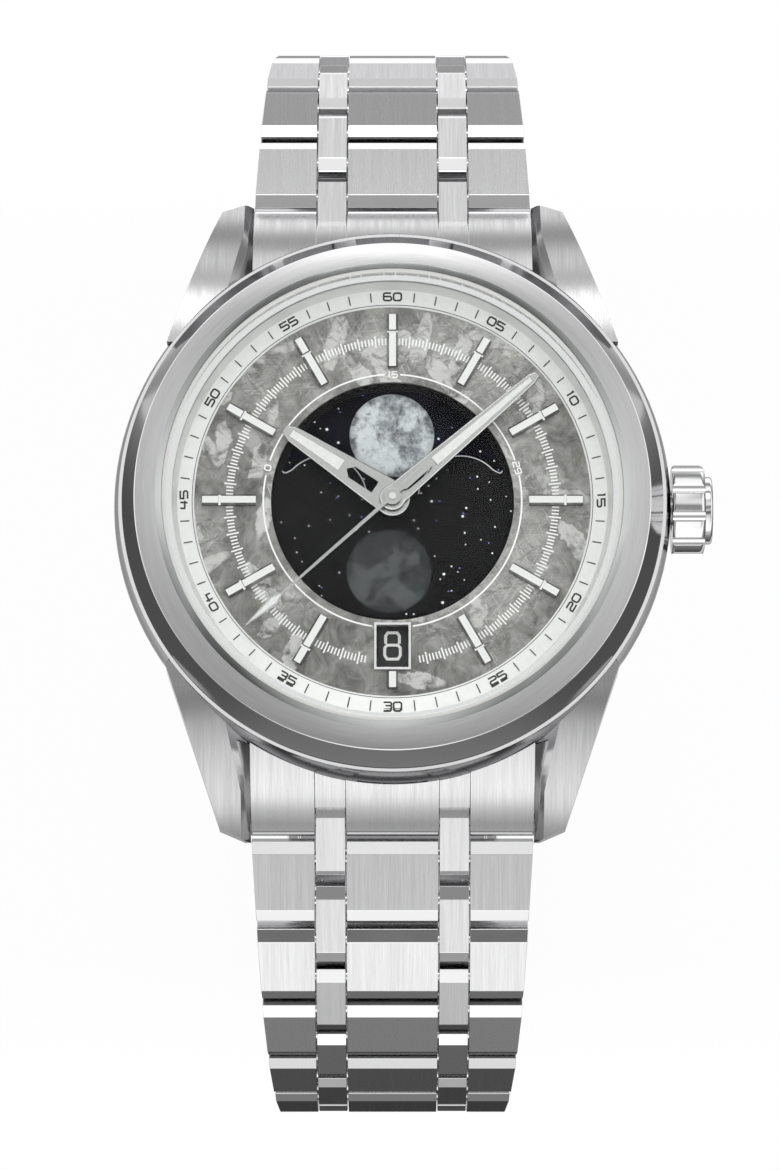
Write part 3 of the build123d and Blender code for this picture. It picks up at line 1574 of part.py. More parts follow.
with BuildPart() as blade_pins:
    for at, z, r, half in (
        (fold_far, fold_far_z, fold_pin_r, blade_half),
        (clasp_y, clasp_z, pin_r, end_half - pin_inset),
    ):
        with BuildSketch(Plane.YZ.offset(-half)):
            with Locations((at, z)):
                Circle(r)
        extrude(amount=2 * half)
with BuildPart() as clasp_short_blade:
    add(short_blade_body.part)
    add(blade_pins.part)
save(clasp_short_blade, "clasp_short_blade")


def make_button(hand):
    with BuildPart() as button:
        outer = hand * (end_half + button_proud)
        with BuildSketch(Plane.YZ.offset(outer)):
            with Locations((button_y, clasp_z + (cover_wall_rise - cover_low) / 2)):
                Rectangle(button_long, button_high)
        extrude(amount=-hand * button_deep)
    return button


save(make_button(1), "right_button")
save(make_button(-1), "left_button")
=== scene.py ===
import math

import bmesh
import bpy
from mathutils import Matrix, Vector
from mathutils.geometry import tessellate_polygon


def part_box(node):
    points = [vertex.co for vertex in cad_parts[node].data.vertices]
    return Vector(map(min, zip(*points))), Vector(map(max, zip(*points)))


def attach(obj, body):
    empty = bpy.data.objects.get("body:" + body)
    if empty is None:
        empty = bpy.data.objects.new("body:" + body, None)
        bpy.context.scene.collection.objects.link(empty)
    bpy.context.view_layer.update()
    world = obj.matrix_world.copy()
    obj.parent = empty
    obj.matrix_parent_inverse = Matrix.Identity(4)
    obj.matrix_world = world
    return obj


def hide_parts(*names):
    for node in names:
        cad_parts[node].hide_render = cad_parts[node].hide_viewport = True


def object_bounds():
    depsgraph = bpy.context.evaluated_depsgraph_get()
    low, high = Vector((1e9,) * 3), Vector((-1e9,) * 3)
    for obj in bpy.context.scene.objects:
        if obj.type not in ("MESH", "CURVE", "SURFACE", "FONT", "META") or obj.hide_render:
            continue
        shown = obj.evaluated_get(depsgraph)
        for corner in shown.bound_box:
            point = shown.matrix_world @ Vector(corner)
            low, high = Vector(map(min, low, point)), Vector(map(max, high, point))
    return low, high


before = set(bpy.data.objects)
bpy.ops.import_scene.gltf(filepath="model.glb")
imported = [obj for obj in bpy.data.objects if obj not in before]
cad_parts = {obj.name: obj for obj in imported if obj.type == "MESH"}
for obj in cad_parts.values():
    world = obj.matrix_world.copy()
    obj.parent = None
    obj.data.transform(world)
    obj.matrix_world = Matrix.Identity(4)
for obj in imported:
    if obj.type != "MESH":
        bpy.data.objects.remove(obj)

bl_info = {
    "name": "Moon Watch Finishes",
    "version": (1, 0, 0),
    "blender": (4, 5, 0),
    "location": "3D View > Sidebar > Watch",
    "description": "Dresses a steel moon-display wristwatch: brushed steel, dial, hands, moons and stage",
    "category": "Object",
}

MM = 0.001
CAD_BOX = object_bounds()


def top_of(node):
    """The height in millimetres of a CAD node's highest point."""
    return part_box(node)[1].z / MM


def low_of(node):
    """The height in millimetres of a CAD node's lowest point."""
    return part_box(node)[0].z / MM


DIAL_TOP = top_of("dial")
DIAL_LOW = low_of("dial")
CHAPTER_TOP = top_of("chapter_ring")
BEZEL_TOP = top_of("bezel")
BEZEL_LOW = low_of("bezel")
CASE_TOP = DIAL_TOP + 0.3
MOON_TOP = top_of("moon_disc")
DATE_TOP = top_of("date_ring")

TURN = math.tau
# The lean in degrees of the bracelet's rows from the dial, then of the first narrow pieces.
ROW_ANGLES = (20, 38, 58, 71, 84, 108, 133, 153, 168, 180)
FIRST_NARROW = 30
MOON_DISC_TEETH = 59

# In millimetres: radii that don't come from the frame, the moon display's shared sizes, and how far
# print stands off what it is on.
DIAL_RADIUS = 16.4
CRYSTAL_RADIUS = 17.45
CHAPTER_FIGURES_RADIUS = 16.1
DATE_FIGURES_RADIUS = 11.26
ARBOR_HOLE = 0.83
MOON_PLATE_RADIUS = 9.7
UPPER_MOON_X = -0.05
LOWER_MOON_X = -0.27
HUMP_CENTRE = (5.3, 0.3)
HUMP_RADIUS = 3.3
CORNER_CENTRE = (8.28, 2.5)
STAR_FIELD = 9.2
STAR_LIFT = 0.006
LINE_LIFT = 0.008
PRINT_LIFT = 0.012
SLOPE_LIFT = 0.015

# The photo's size in pixels, how many of them there are to a millimetre of the dial, and where the
# dial's middle lies; then the width of the camera's sensor in millimetres.
PHOTO_WIDE = 780
PHOTO_HIGH = 1170
PIXELS_PER_MM = 12.9
DIAL_PIXEL = (392.5, 500.85)
SENSOR = 36

# How bright the room is at an angle in degrees from straight up: negative to the back, positive to
# the front, past 90 either way below the horizon.
ROOM_TONES = (
    (-179, 0.9), (-158, 0.6), (-144, 0.6), (-135, 1.9), (-116, 1.9), (-107, 1.6), (-99, 0.6),
    (-91, 0.3), (-84, 0.5), (-77, 1.25), (-64, 1.35), (-58, 0.35), (-50, 0.4), (-45, 1.3), (-30, 1.3),
    (-20, 1.1), (-8, 0.95), (-3, 0.3), (4, 0.35), (10, 0.9), (15, 0.2), (21, 0.2), (27, 0.95),
    (46, 1.4), (80, 1.6), (88, 0.7), (97, 0.6), (106, 0.3), (135, 0.1), (170, 0.1),
)


# Meshes

def tidy_normals(mesh):
    """Merges doubled points and turns every face outwards."""
    shell = bmesh.new()
    shell.from_mesh(mesh)
    bmesh.ops.remove_doubles(shell, verts=shell.verts, dist=0.0004 * MM)
    bmesh.ops.recalc_face_normals(shell, faces=shell.faces)
    shell.to_mesh(mesh)
    shell.free()


def add_piece(name, verts, faces, body, materials, sharp, solid=True):
    """A mesh piece from points in millimetres, riding on a body."""
    mesh = bpy.data.meshes.new(name)
    mesh.from_pydata([Vector(v) * MM for v in verts], [], faces)
    mesh.validate()
    if solid:
        tidy_normals(mesh)
    return add_mesh(name, mesh, body, materials, sharp)


def add_mesh(name, mesh, body, materials, sharp):
    """A piece from a finished mesh, riding on a body."""
    for material in materials:
        mesh.materials.append(material)
    if sharp:
        mesh.shade_smooth()
        mesh.set_sharp_from_angle(angle=math.radians(sharp))
    piece = bpy.data.objects.new(name, mesh)
    bpy.context.scene.collection.objects.link(piece)
    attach(piece, body)
    return piece


def settled(piece):
    """The mesh of a piece with its modifiers applied; the modifiers are then removed."""
    bpy.context.view_layer.update()
    depsgraph = bpy.context.evaluated_depsgraph_get()
    mesh = bpy.data.meshes.new_from_object(piece.evaluated_get(depsgraph))
    piece.modifiers.clear()
    return mesh


def bevel_edges(piece, width, segments, angle):
    """Breaks a piece's sharp edges by a width in millimetres."""
    edge = piece.modifiers.new("edge_break", "BEVEL")
    edge.width = width * MM
    edge.segments = segments
    edge.limit_method = "ANGLE"
    edge.angle_limit = math.radians(angle)
    edge.use_clamp_overlap = True
    edge.miter_outer = "MITER_ARC"
    edge.harden_normals = True
    old = piece.data
    mesh = settled(piece)
    mesh.name = old.name
    piece.data = mesh
    bpy.data.meshes.remove(old)


def turned(name, profile, body, materials, steps, sharp):
    """A closed body of revolution about +Z from (radius, height) pairs."""
    verts = []
    faces = []
    count = len(profile)
    for i in range(steps):
        a = TURN * i / steps
        for r, z in profile:
            verts.append((r * math.sin(a), r * math.cos(a), z))
    for i in range(steps):
        n = (i + 1) % steps
        for j in range(count):
            k = (j + 1) % count
            if profile[j][0] == 0 and profile[k][0] == 0:
                continue
            faces.append((i * count + j, i * count + k, n * count + k, n * count + j))
    return add_piece(name, verts, faces, body, materials, sharp)


def circle(radius, steps, centre=(0, 0)):
    """Points round a circle, clockwise from 12 o'clock."""
    return [
        (centre[0] + radius * math.sin(TURN * i / steps), centre[1] + radius * math.cos(TURN * i / steps))
        for i in range(steps)
    ]


def filled(loops):
    """Triangles over flat loops: the first is the outline, the others are holes."""
    points = [p for loop in loops for p in loop]
    triangles = tessellate_polygon([[Vector((x, y, 0)) for x, y in loop] for loop in loops])
    faces = []
    for a, b, c in triangles:
        pa, pb, pc = points[a], points[b], points[c]
        area = (pb[0] - pa[0]) * (pc[1] - pa[1]) - (pb[1] - pa[1]) * (pc[0] - pa[0])
        faces.append((a, b, c) if area > 0 else (a, c, b))
    return points, faces


def slab(name, loops, low, high, body, materials):
    """A flat plate with holes between two heights."""
    points, tops = filled(loops)
    count = len(points)
    verts = [(x, y, high) for x, y in points] + [(x, y, low) for x, y in points]
    faces = list(tops) + [(c + count, b + count, a + count) for a, b, c in tops]
    start = 0
    for loop in loops:
        n = len(loop)
        for i in range(n):
            j = (i + 1) % n
            faces.append((start + i, start + j, start + j + count, start + i + count))
        start += n
    return add_piece(name, verts, faces, body, materials, 25)


def ribbon(points, width, closed=False):
    """The quads of a mitred line."""
    n = len(points)
    edges = []
    for i in range(n):
        before = points[i - 1] if (i or closed) else None
        after = points[(i + 1) % n] if (i < n - 1 or closed) else None
        here = Vector(points[i])
        d1 = (here - Vector(before)).normalized() if before else None
        d2 = (Vector(after) - here).normalized() if after else None
        d1 = d1 or d2
        d2 = d2 or d1
        side = Vector((-(d1.y + d2.y), d1.x + d2.x)).normalized()
        reach = width / 2 / max(0.35, side.dot(Vector((-d1.y, d1.x))))
        edges.append((here + side * reach, here - side * reach))
    quads = []
    for i in range(n if closed else n - 1):
        a, b = edges[i], edges[(i + 1) % n]
        quads.append((a[1], b[1], b[0], a[0]))
    return quads


def flat_marks(name, quads, place, body, material):
    """Flat ink: quads of 2-D points, put on a surface by place(x, y)."""
    verts = []
    faces = []
    for quad in quads:
        faces.append(tuple(range(len(verts), len(verts) + len(quad))))
        verts += [place(x, y) for x, y in quad]
    return add_piece(name, verts, faces, body, [material], 0, solid=False)


def cad_copy(node, edge, body, materials, segments=2, angle=28, sharp=22):
    """A merged copy of a CAD node with its edges broken; it stands for the node."""
    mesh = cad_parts[node].data.copy()
    mesh.name = node + "_finish"
    mesh.materials.clear()
    shell = bmesh.new()
    shell.from_mesh(mesh)
    bmesh.ops.remove_doubles(shell, verts=shell.verts, dist=0.002 * MM)
    flat = math.radians(0.8)
    bmesh.ops.dissolve_limit(shell, angle_limit=flat, verts=shell.verts, edges=shell.edges)
    shell.to_mesh(mesh)
    shell.free()
    if "custom_normal" in mesh.attributes:
        mesh.attributes.remove(mesh.attributes["custom_normal"])
    piece = add_mesh(mesh.name, mesh, body, materials, sharp)
    if edge:
        bevel_edges(piece, edge, segments, angle)
    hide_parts(node)
    return piece


def refinish(node, material):
    """Gives a CAD node one material of its own."""
    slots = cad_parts[node].data.materials
    slots.clear()
    slots.append(material)


def paint_faces(piece, chooser):
    """Gives each face the material whose number the chooser returns for its normal and centre."""
    for polygon in piece.data.polygons:
        polygon.material_index = chooser(polygon.normal, polygon.center / MM)


# Shader and geometry node helpers

def feed(tree, node, ins):
    """Fills a node's inputs, by name or number: a socket is linked and a value is set."""
    for key, value in ins.items():
        if isinstance(value, bpy.types.NodeSocket):
            tree.links.new(value, node.inputs[key])
        else:
            node.inputs[key].default_value = value


def put(tree, kind, ins=None, **choices):
    """Adds a node with its choices made and its inputs filled."""
    node = tree.nodes.new(kind)
    for key, value in choices.items():
        setattr(node, key, value)
    feed(tree, node, ins or {})
    return node


def maths(tree, operation, a, b=0.0, c=0.0):
    """The result of one sum; only MULTIPLY_ADD has a third value."""
    ins = {0: a, 1: b}
    if operation == "MULTIPLY_ADD":
        ins[2] = c
    return put(tree, "ShaderNodeMath", ins, operation=operation).outputs[0]


def reach(tree, x, y):
    """How far a point lies from the Z axis."""
    squares = maths(tree, "ADD", maths(tree, "MULTIPLY", x, x), maths(tree, "MULTIPLY", y, y))
    return maths(tree, "SQRT", squares)


def spread(tree, value, low, high, to_low=0.0, to_high=1.0, smooth=False):
    """Maps a value from one range to another and holds it inside."""
    return put(
        tree,
        "ShaderNodeMapRange",
        {"Value": value, "From Min": low, "From Max": high, "To Min": to_low, "To Max": to_high},
        interpolation_type="SMOOTHSTEP" if smooth else "LINEAR",
        clamp=True,
    ).outputs[0]


def blend_colour(tree, factor, a, b, mode="MIX"):
    """Mixes two colours; a plain colour has three numbers."""
    node = put(tree, "ShaderNodeMix", {0: factor}, data_type="RGBA", blend_type=mode)
    for index, value in ((6, a), (7, b)):
        feed(tree, node, {index: value if isinstance(value, bpy.types.NodeSocket) else (*value, 1.0)})
    return node.outputs[2]


def object_point(tree, scale=(1, 1, 1), place=(0, 0, 0)):
    """The point on the piece in its own coordinates, stretched and moved."""
    where = put(tree, "ShaderNodeTexCoord").outputs["Object"]
    return put(tree, "ShaderNodeMapping", {"Vector": where, "Scale": scale, "Location": place}).outputs[0]


def noise(tree, where, scale, detail=2.0, rough=0.5, bend=0.0):
    """The outputs of a noise texture: its value, then its colour."""
    return put(
        tree,
        "ShaderNodeTexNoise",
        {"Vector": where, "Scale": scale, "Detail": detail, "Roughness": rough, "Distortion": bend},
    ).outputs


def shader_group(name, inputs, outputs):
    """An empty shader group with named sockets, its entry and its exit."""
    group = bpy.data.node_groups.new(name, "ShaderNodeTree")
    for label, kind, default in inputs:
        socket = group.interface.new_socket(label, in_out="INPUT", socket_type=kind)
        if default is not None:
            socket.default_value = default
    for label, kind in outputs:
        group.interface.new_socket(label, in_out="OUTPUT", socket_type=kind)
    return group, group.nodes.new("NodeGroupInput"), group.nodes.new("NodeGroupOutput")


def use_group(tree, group, ins):
    """The outputs of a shader group, placed with its own values."""
    return put(tree, "ShaderNodeGroup", ins, node_tree=group).outputs


def grain_group():
    """Fine drawn lines: a shade that varies across the lines and a height for bump."""
    if "drawn_grain" in bpy.data.node_groups:
        return bpy.data.node_groups["drawn_grain"]
    group, entry, leave = shader_group(
        "drawn_grain",
        (("Vector", "NodeSocketVector", None), ("Depth", "NodeSocketFloat", 0.5)),
        (("Shade", "NodeSocketFloat"), ("Height", "NodeSocketFloat")),
    )
    where = entry.outputs["Vector"]
    fine = noise(group, where, 1.0, 4.0, 0.7)[0]
    broad = noise(group, where, 0.23, 2.0, 0.5)[0]
    mixed = maths(group, "MULTIPLY_ADD", fine, 0.65, maths(group, "MULTIPLY", broad, 0.35))
    centred = maths(group, "SUBTRACT", mixed, 0.5)
    shade = maths(group, "MULTIPLY_ADD", centred, entry.outputs["Depth"], 0.5)
    feed(group, leave, {"Shade": shade, "Height": mixed})
    return group


def smudge_group():
    """Broad, faint unevenness that handling leaves on metal and glass."""
    if "hand_smudge" in bpy.data.node_groups:
        return bpy.data.node_groups["hand_smudge"]
    group, entry, leave = shader_group(
        "hand_smudge",
        (
            ("Vector", "NodeSocketVector", None), ("Low", "NodeSocketFloat", 0.1),
            ("High", "NodeSocketFloat", 0.2),
        ),
        (("Roughness", "NodeSocketFloat"),),
    )
    broad = noise(group, entry.outputs["Vector"], 160.0, 3.0, 0.55)[0]
    level = spread(group, broad, 0.3, 0.7, entry.outputs["Low"], entry.outputs["High"])
    feed(group, leave, {"Roughness": level})
    return group


# Finishes

# A metal that turns dark where it curves out of sight, as steel does.
STEEL = {"Metallic": 1.0, "Specular Tint": (0.4, 0.4, 0.41, 1.0)}


def own_material(build):
    """Has a finish built the first time that its name is asked for, and finds it from then on."""

    def by_name(name, *values):
        """The material of that name, built from the values if it isn't there yet."""
        material = bpy.data.materials.get(name)
        if material is None:
            material = bpy.data.materials.new(name)
            material.use_nodes = True
            tree = material.node_tree
            build(tree, tree.nodes["Principled BSDF"], *values)
        return material

    return by_name


def tinted(tone, share):
    """A tone made darker or lighter."""
    return tuple(min(1.0, c * share) for c in tone)


def bump(tree, surface, height, strength, distance):
    """Raises a height over a surface, by a distance in millimetres."""
    node = put(tree, "ShaderNodeBump", {"Height": height, "Strength": strength, "Distance": distance * MM})
    feed(tree, surface, {"Normal": node.outputs[0]})


@own_material
def drawn_steel(tree, surface, lines, along, tone, rough, depth):
    """Steel drawn straight: lines per millimetre across X, and per millimetre along."""
    where = object_point(tree, (lines / MM, along / MM, along / MM))
    grain = use_group(tree, grain_group(), {"Vector": where, "Depth": depth})
    feed(tree, surface, STEEL | {
        "Base Color": blend_colour(tree, grain["Shade"], tinted(tone, 0.72), tinted(tone, 1.22)),
        "Roughness": spread(tree, grain["Shade"], 0.25, 0.75, rough + 0.06, rough - 0.06),
    })
    bump(tree, surface, grain["Height"], 0.35, 0.004)


@own_material
def turned_steel(tree, surface, lines, tone, rough, depth):
    """Steel brushed round the dial's axis, with the fan of light that gives."""
    where = put(tree, "ShaderNodeTexCoord").outputs["Object"]
    x, y, z = put(tree, "ShaderNodeSeparateXYZ", {0: where}).outputs
    radius = reach(tree, x, y)
    angle = maths(tree, "ARCTAN2", y, x)
    vector = put(
        tree,
        "ShaderNodeCombineXYZ",
        {
            0: maths(tree, "MULTIPLY", radius, lines / MM),
            1: maths(tree, "MULTIPLY", angle, 7.0),
            2: maths(tree, "MULTIPLY", z, lines / MM),
        },
    ).outputs[0]
    grain = use_group(tree, grain_group(), {"Vector": vector, "Depth": depth})
    feed(tree, surface, STEEL | {
        "Base Color": blend_colour(tree, grain["Shade"], tinted(tone, 0.78), tinted(tone, 1.18)),
        "Roughness": rough,
        "Anisotropic": 0.85,
        "Tangent": put(tree, "ShaderNodeTangent", direction_type="RADIAL", axis="Z").outputs[0],
    })
    bump(tree, surface, grain["Height"], 0.3, 0.004)


@own_material
def mirror_steel(tree, surface, tone, low=0.06, high=0.12):
    """Polished steel, its roughness smudged between low and high."""
    smudge = use_group(tree, smudge_group(), {"Vector": object_point(tree), "Low": low, "High": high})
    feed(tree, surface, STEEL | {"Base Color": (*tone, 1), "Roughness": smudge[0]})


@own_material
def ink(tree, surface, colour, rough):
    """Flat print of one colour, slightly uneven."""
    fine = noise(tree, object_point(tree), 2500.0, 3.0)[0]
    level = spread(tree, fine, 0.3, 0.7)
    feed(tree, surface, {
        "Base Color": blend_colour(tree, level, tinted(colour, 0.9), colour),
        "Roughness": rough,
    })


@own_material
def plain_metal(tree, surface, tone, rough):
    """A machined inner metal with a slight unevenness of tone."""
    fine = noise(tree, object_point(tree), 900.0, 4.0)[0]
    feed(tree, surface, {
        "Base Color": blend_colour(tree, fine, tinted(tone, 0.8), tinted(tone, 1.15)),
        "Roughness": spread(tree, fine, 0.3, 0.7, rough - 0.05, rough + 0.08),
        "Metallic": 1.0,
    })
    bump(tree, surface, fine, 0.2, 0.01)


@own_material
def plain_polymer(tree, surface, tone, rough):
    """A moulded plastic of one tone."""
    fine = noise(tree, object_point(tree), 1200.0, 3.0)[0]
    colour = blend_colour(tree, fine, tinted(tone, 0.88), tone)
    feed(tree, surface, {"Base Color": colour, "Roughness": rough})
    bump(tree, surface, fine, 0.25, 0.01)


@own_material
def satin_silver(tree, surface):
    """The sloping minute ring's pale satin metal."""
    fine = noise(tree, object_point(tree), 2200.0, 3.0)[0]
    feed(tree, surface, {
        "Base Color": blend_colour(tree, fine, (0.70, 0.70, 0.69), (0.80, 0.80, 0.79)),
        "Metallic": 0.25,
        "Roughness": 0.45,
    })
    bump(tree, surface, fine, 0.2, 0.006)


@own_material
def clear_crystal(tree, surface):
    """Clear glass that casts next to no shadow on the dial."""
    smudge = use_group(tree, smudge_group(), {"Vector": object_point(tree), "Low": 0.0, "High": 0.012})
    shadow = put(tree, "ShaderNodeLightPath").outputs["Is Shadow Ray"]
    feed(tree, surface, {
        "Roughness": smudge[0],
        "Base Color": (0.985, 0.995, 0.99, 1),
        "Transmission Weight": 1.0,
        "IOR": 1.12,
        "Specular IOR Level": 0.1,
        "Alpha": maths(tree, "SUBTRACT", 1.0, maths(tree, "MULTIPLY", shadow, 0.97)),
    })


def slanted(tree, vector, degrees, scale, seed):
    """A point turned about Z and then stretched, so that what it feeds lies at that angle."""
    angle = math.radians(degrees)
    at_angle = put(
        tree, "ShaderNodeVectorRotate", {"Vector": vector, "Angle": angle}, rotation_type="Z_AXIS"
    ).outputs[0]
    ins = {"Vector": at_angle, "Scale": scale, "Location": (seed, seed * 0.4, 0)}
    return put(tree, "ShaderNodeMapping", ins).outputs[0]


# The dial's broken plates: their slant in degrees, a seed, and the share of cells that stay bare.
STONE_PLATES = ((15, 1.3, 0.86), (64, 4.2, 0.87), (-38, 7.7, 0.86), (100, 9.1, 0.89))
# Its scratches: their slant in degrees, a seed and a colour.
PALE_SCRATCH = (0.55, 0.545, 0.53)
DARK_SCRATCH = (0.06, 0.058, 0.055)
STONE_SCRATCHES = (
    (35, 3.0, PALE_SCRATCH), (-22, 5.0, PALE_SCRATCH), (88, 8.0, PALE_SCRATCH),
    (63, 11.0, DARK_SCRATCH), (-50, 6.0, DARK_SCRATCH),
)


@own_material
def etched_iron(tree, surface):
    """Etched grey iron: mottled, with broken pale plates and fine scratches."""
    where = object_point(tree)
    mottled = noise(tree, where, 520.0, 11.0, 0.72, 0.9)[0]
    cloud = noise(tree, object_point(tree, place=(0.02, 0.01, 0)), 170.0, 5.0, 0.6)[0]
    tone = maths(tree, "MULTIPLY_ADD", mottled, 0.6, maths(tree, "MULTIPLY", cloud, 0.4))
    ground = blend_colour(tree, spread(tree, tone, 0.38, 0.62), (0.10, 0.098, 0.092), (0.38, 0.374, 0.358))
    warp = noise(tree, where, 700.0, 6.0, 0.65)[1]
    ins = {0: warp, 1: (0.0014, 0.0014, 0.0), 2: where}
    bent = put(tree, "ShaderNodeVectorMath", ins, operation="MULTIPLY_ADD").outputs[0]
    for turn, seed, bare in STONE_PLATES:
        ins = {"Vector": slanted(tree, bent, turn, (620, 200, 620), seed), "Scale": 1.0, "Randomness": 1.0}
        cells = put(tree, "ShaderNodeTexVoronoi", ins, feature="F1").outputs
        pick = put(tree, "ShaderNodeSeparateColor", {0: cells["Color"]}).outputs[0]
        chosen = spread(tree, pick, bare, bare + 0.02)
        edge = spread(tree, cells["Distance"], 0.5, 0.44)
        plate = maths(tree, "MULTIPLY", chosen, edge)
        plate = maths(tree, "MULTIPLY", plate, spread(tree, mottled, 0.38, 0.52))
        rim = maths(tree, "MULTIPLY", chosen, spread(tree, cells["Distance"], 0.56, 0.5))
        ground = blend_colour(tree, maths(tree, "MULTIPLY", rim, 0.45), ground, (0.13, 0.128, 0.12))
        ground = blend_colour(tree, maths(tree, "MULTIPLY", plate, 0.85), ground, (0.56, 0.555, 0.54))
    for turn, seed, colour in STONE_SCRATCHES:
        lines = noise(tree, slanted(tree, where, turn, (2300, 170, 170), seed), 1.0, 1.0)[0]
        ridge = spread(tree, maths(tree, "ABSOLUTE", maths(tree, "SUBTRACT", lines, 0.5)), 0.02, 0.006)
        worn = spread(tree, cloud, 0.44, 0.56)
        scratch = maths(tree, "MULTIPLY", maths(tree, "MULTIPLY", ridge, worn), 0.4)
        ground = blend_colour(tree, scratch, ground, colour)
    feed(tree, surface, {
        "Base Color": ground,
        "Metallic": 0.2,
        "Roughness": spread(tree, mottled, 0.3, 0.7, 0.55, 0.38),
        "Specular IOR Level": 0.3,
    })
    bump(tree, surface, mottled, 0.3, 0.03)


def moon_face(tree, where, centre, radius, seed):
    """Colour and mask of one generic cratered moon on the disc."""
    shift = (-centre[0] * MM, -centre[1] * MM, 0)
    shifted = put(tree, "ShaderNodeMapping", {"Vector": where, "Location": shift}).outputs[0]
    x, y, _ = put(tree, "ShaderNodeSeparateXYZ", {0: shifted}).outputs
    far = reach(tree, x, y)
    mask = spread(tree, far, (radius + 0.03) * MM, (radius - 0.03) * MM)
    offset = put(
        tree, "ShaderNodeVectorMath", {0: shifted, 1: (seed, seed * 0.7, 0)}, operation="ADD"
    ).outputs[0]
    seas = noise(tree, offset, 300.0, 9.0, 0.62, 0.25)[0]
    # The dark plains gather in the upper half.
    low_half = maths(tree, "MULTIPLY", y, -22.0)
    seas = maths(tree, "ADD", seas, maths(tree, "MAXIMUM", maths(tree, "MINIMUM", low_half, 0.07), -0.05))
    dust = noise(tree, offset, 1700.0, 8.0, 0.75)[0]
    pits = put(tree, "ShaderNodeTexVoronoi", {"Vector": offset, "Scale": 1500.0}, feature="F1").outputs
    rims = maths(tree, "ABSOLUTE", maths(tree, "SUBTRACT", pits["Distance"], 0.2))
    rims = spread(tree, rims, 0.05, 0.02)
    level = spread(tree, seas, 0.455, 0.545, smooth=True)
    ground = blend_colour(tree, level, (0.13, 0.14, 0.155), (0.50, 0.535, 0.55))
    ground = blend_colour(tree, spread(tree, dust, 0.4, 0.68, 0.0, 0.5), ground, (0.80, 0.85, 0.87))
    ground = blend_colour(tree, spread(tree, dust, 0.46, 0.36, 0.0, 0.4), ground, (0.10, 0.105, 0.115))
    ground = blend_colour(tree, maths(tree, "MULTIPLY", rims, 0.22), ground, (0.90, 0.94, 0.96))
    limb = spread(tree, far, radius * 0.8 * MM, radius * MM, 1.0, 0.75, smooth=True)
    shade = put(tree, "ShaderNodeCombineColor", {0: limb, 1: limb, 2: limb}).outputs[0]
    return blend_colour(tree, 1.0, ground, shade, "MULTIPLY"), mask


@own_material
def night_disc(tree, surface, moon_r, orbit):
    """The dark sky of the moon disc with its two moons."""
    where = put(tree, "ShaderNodeTexCoord").outputs["Object"]
    haze = noise(tree, where, 240.0, 5.0)[0]
    face = blend_colour(tree, spread(tree, haze, 0.45, 0.75), (0.003, 0.003, 0.005), (0.010, 0.010, 0.020))
    moons = [
        moon_face(tree, where, (UPPER_MOON_X, orbit), moon_r, 0.013),
        moon_face(tree, where, (LOWER_MOON_X, -orbit), moon_r, 0.052),
    ]
    for moon, mask in moons:
        face = blend_colour(tree, mask, face, moon)
    feed(tree, surface, {"Base Color": face, "Roughness": 0.6, "Specular IOR Level": 0.05})


@own_material
def smoked_plate(tree, surface):
    """A dark see-through plate."""
    fine = noise(tree, object_point(tree), 500.0, 4.0)[0]
    colour = blend_colour(tree, fine, (0.005, 0.005, 0.005), (0.009, 0.009, 0.009))
    # Light falls through the plate in full, so that the moon under it shows dimly through both faces.
    path = put(tree, "ShaderNodeLightPath").outputs
    lighting = maths(tree, "MAXIMUM", path["Is Shadow Ray"], path["Is Diffuse Ray"])
    feed(tree, surface, {
        "Base Color": colour,
        "Alpha": maths(tree, "MULTIPLY", maths(tree, "SUBTRACT", 1.0, lighting), 0.62),
        "Roughness": 0.5,
        "Specular IOR Level": 0.04,
    })


@own_material
def white_floor(tree, surface, colour):
    """A floor that looks plain white and still takes the watch's soft shadow."""
    uneven = noise(tree, object_point(tree), 60.0)[0]
    feed(tree, surface, {
        "Roughness": 0.9,
        "Base Color": blend_colour(tree, uneven, tinted(colour, 0.98), colour),
    })
    path = put(tree, "ShaderNodeLightPath").outputs
    seen = maths(tree, "MAXIMUM", path["Is Camera Ray"], path["Is Glossy Ray"])
    seen = maths(tree, "MAXIMUM", seen, path["Is Transmission Ray"])
    glow = put(tree, "ShaderNodeEmission", {"Color": (1, 1, 1, 1), "Strength": 1.0})
    # The shadow shows under the watch and fades out before the floor's edges.
    x, y, _ = put(
        tree, "ShaderNodeSeparateXYZ", {0: put(tree, "ShaderNodeTexCoord").outputs["Object"]}
    ).outputs
    ends = spread(tree, maths(tree, "ABSOLUTE", y), 30 * MM, 40 * MM)
    flanks = spread(tree, maths(tree, "ABSOLUTE", x), 34 * MM, 60 * MM)
    plain = maths(tree, "MULTIPLY_ADD", maths(tree, "MAXIMUM", ends, flanks), 0.05, 0.95)
    mix = put(
        tree, "ShaderNodeMixShader",
        {0: maths(tree, "MULTIPLY", seen, plain), 1: surface.outputs[0], 2: glow.outputs[0]},
    )
    feed(tree, tree.nodes["Material Output"], {"Surface": mix.outputs[0]})


# Figures drawn with square strokes in a box one wide and one high

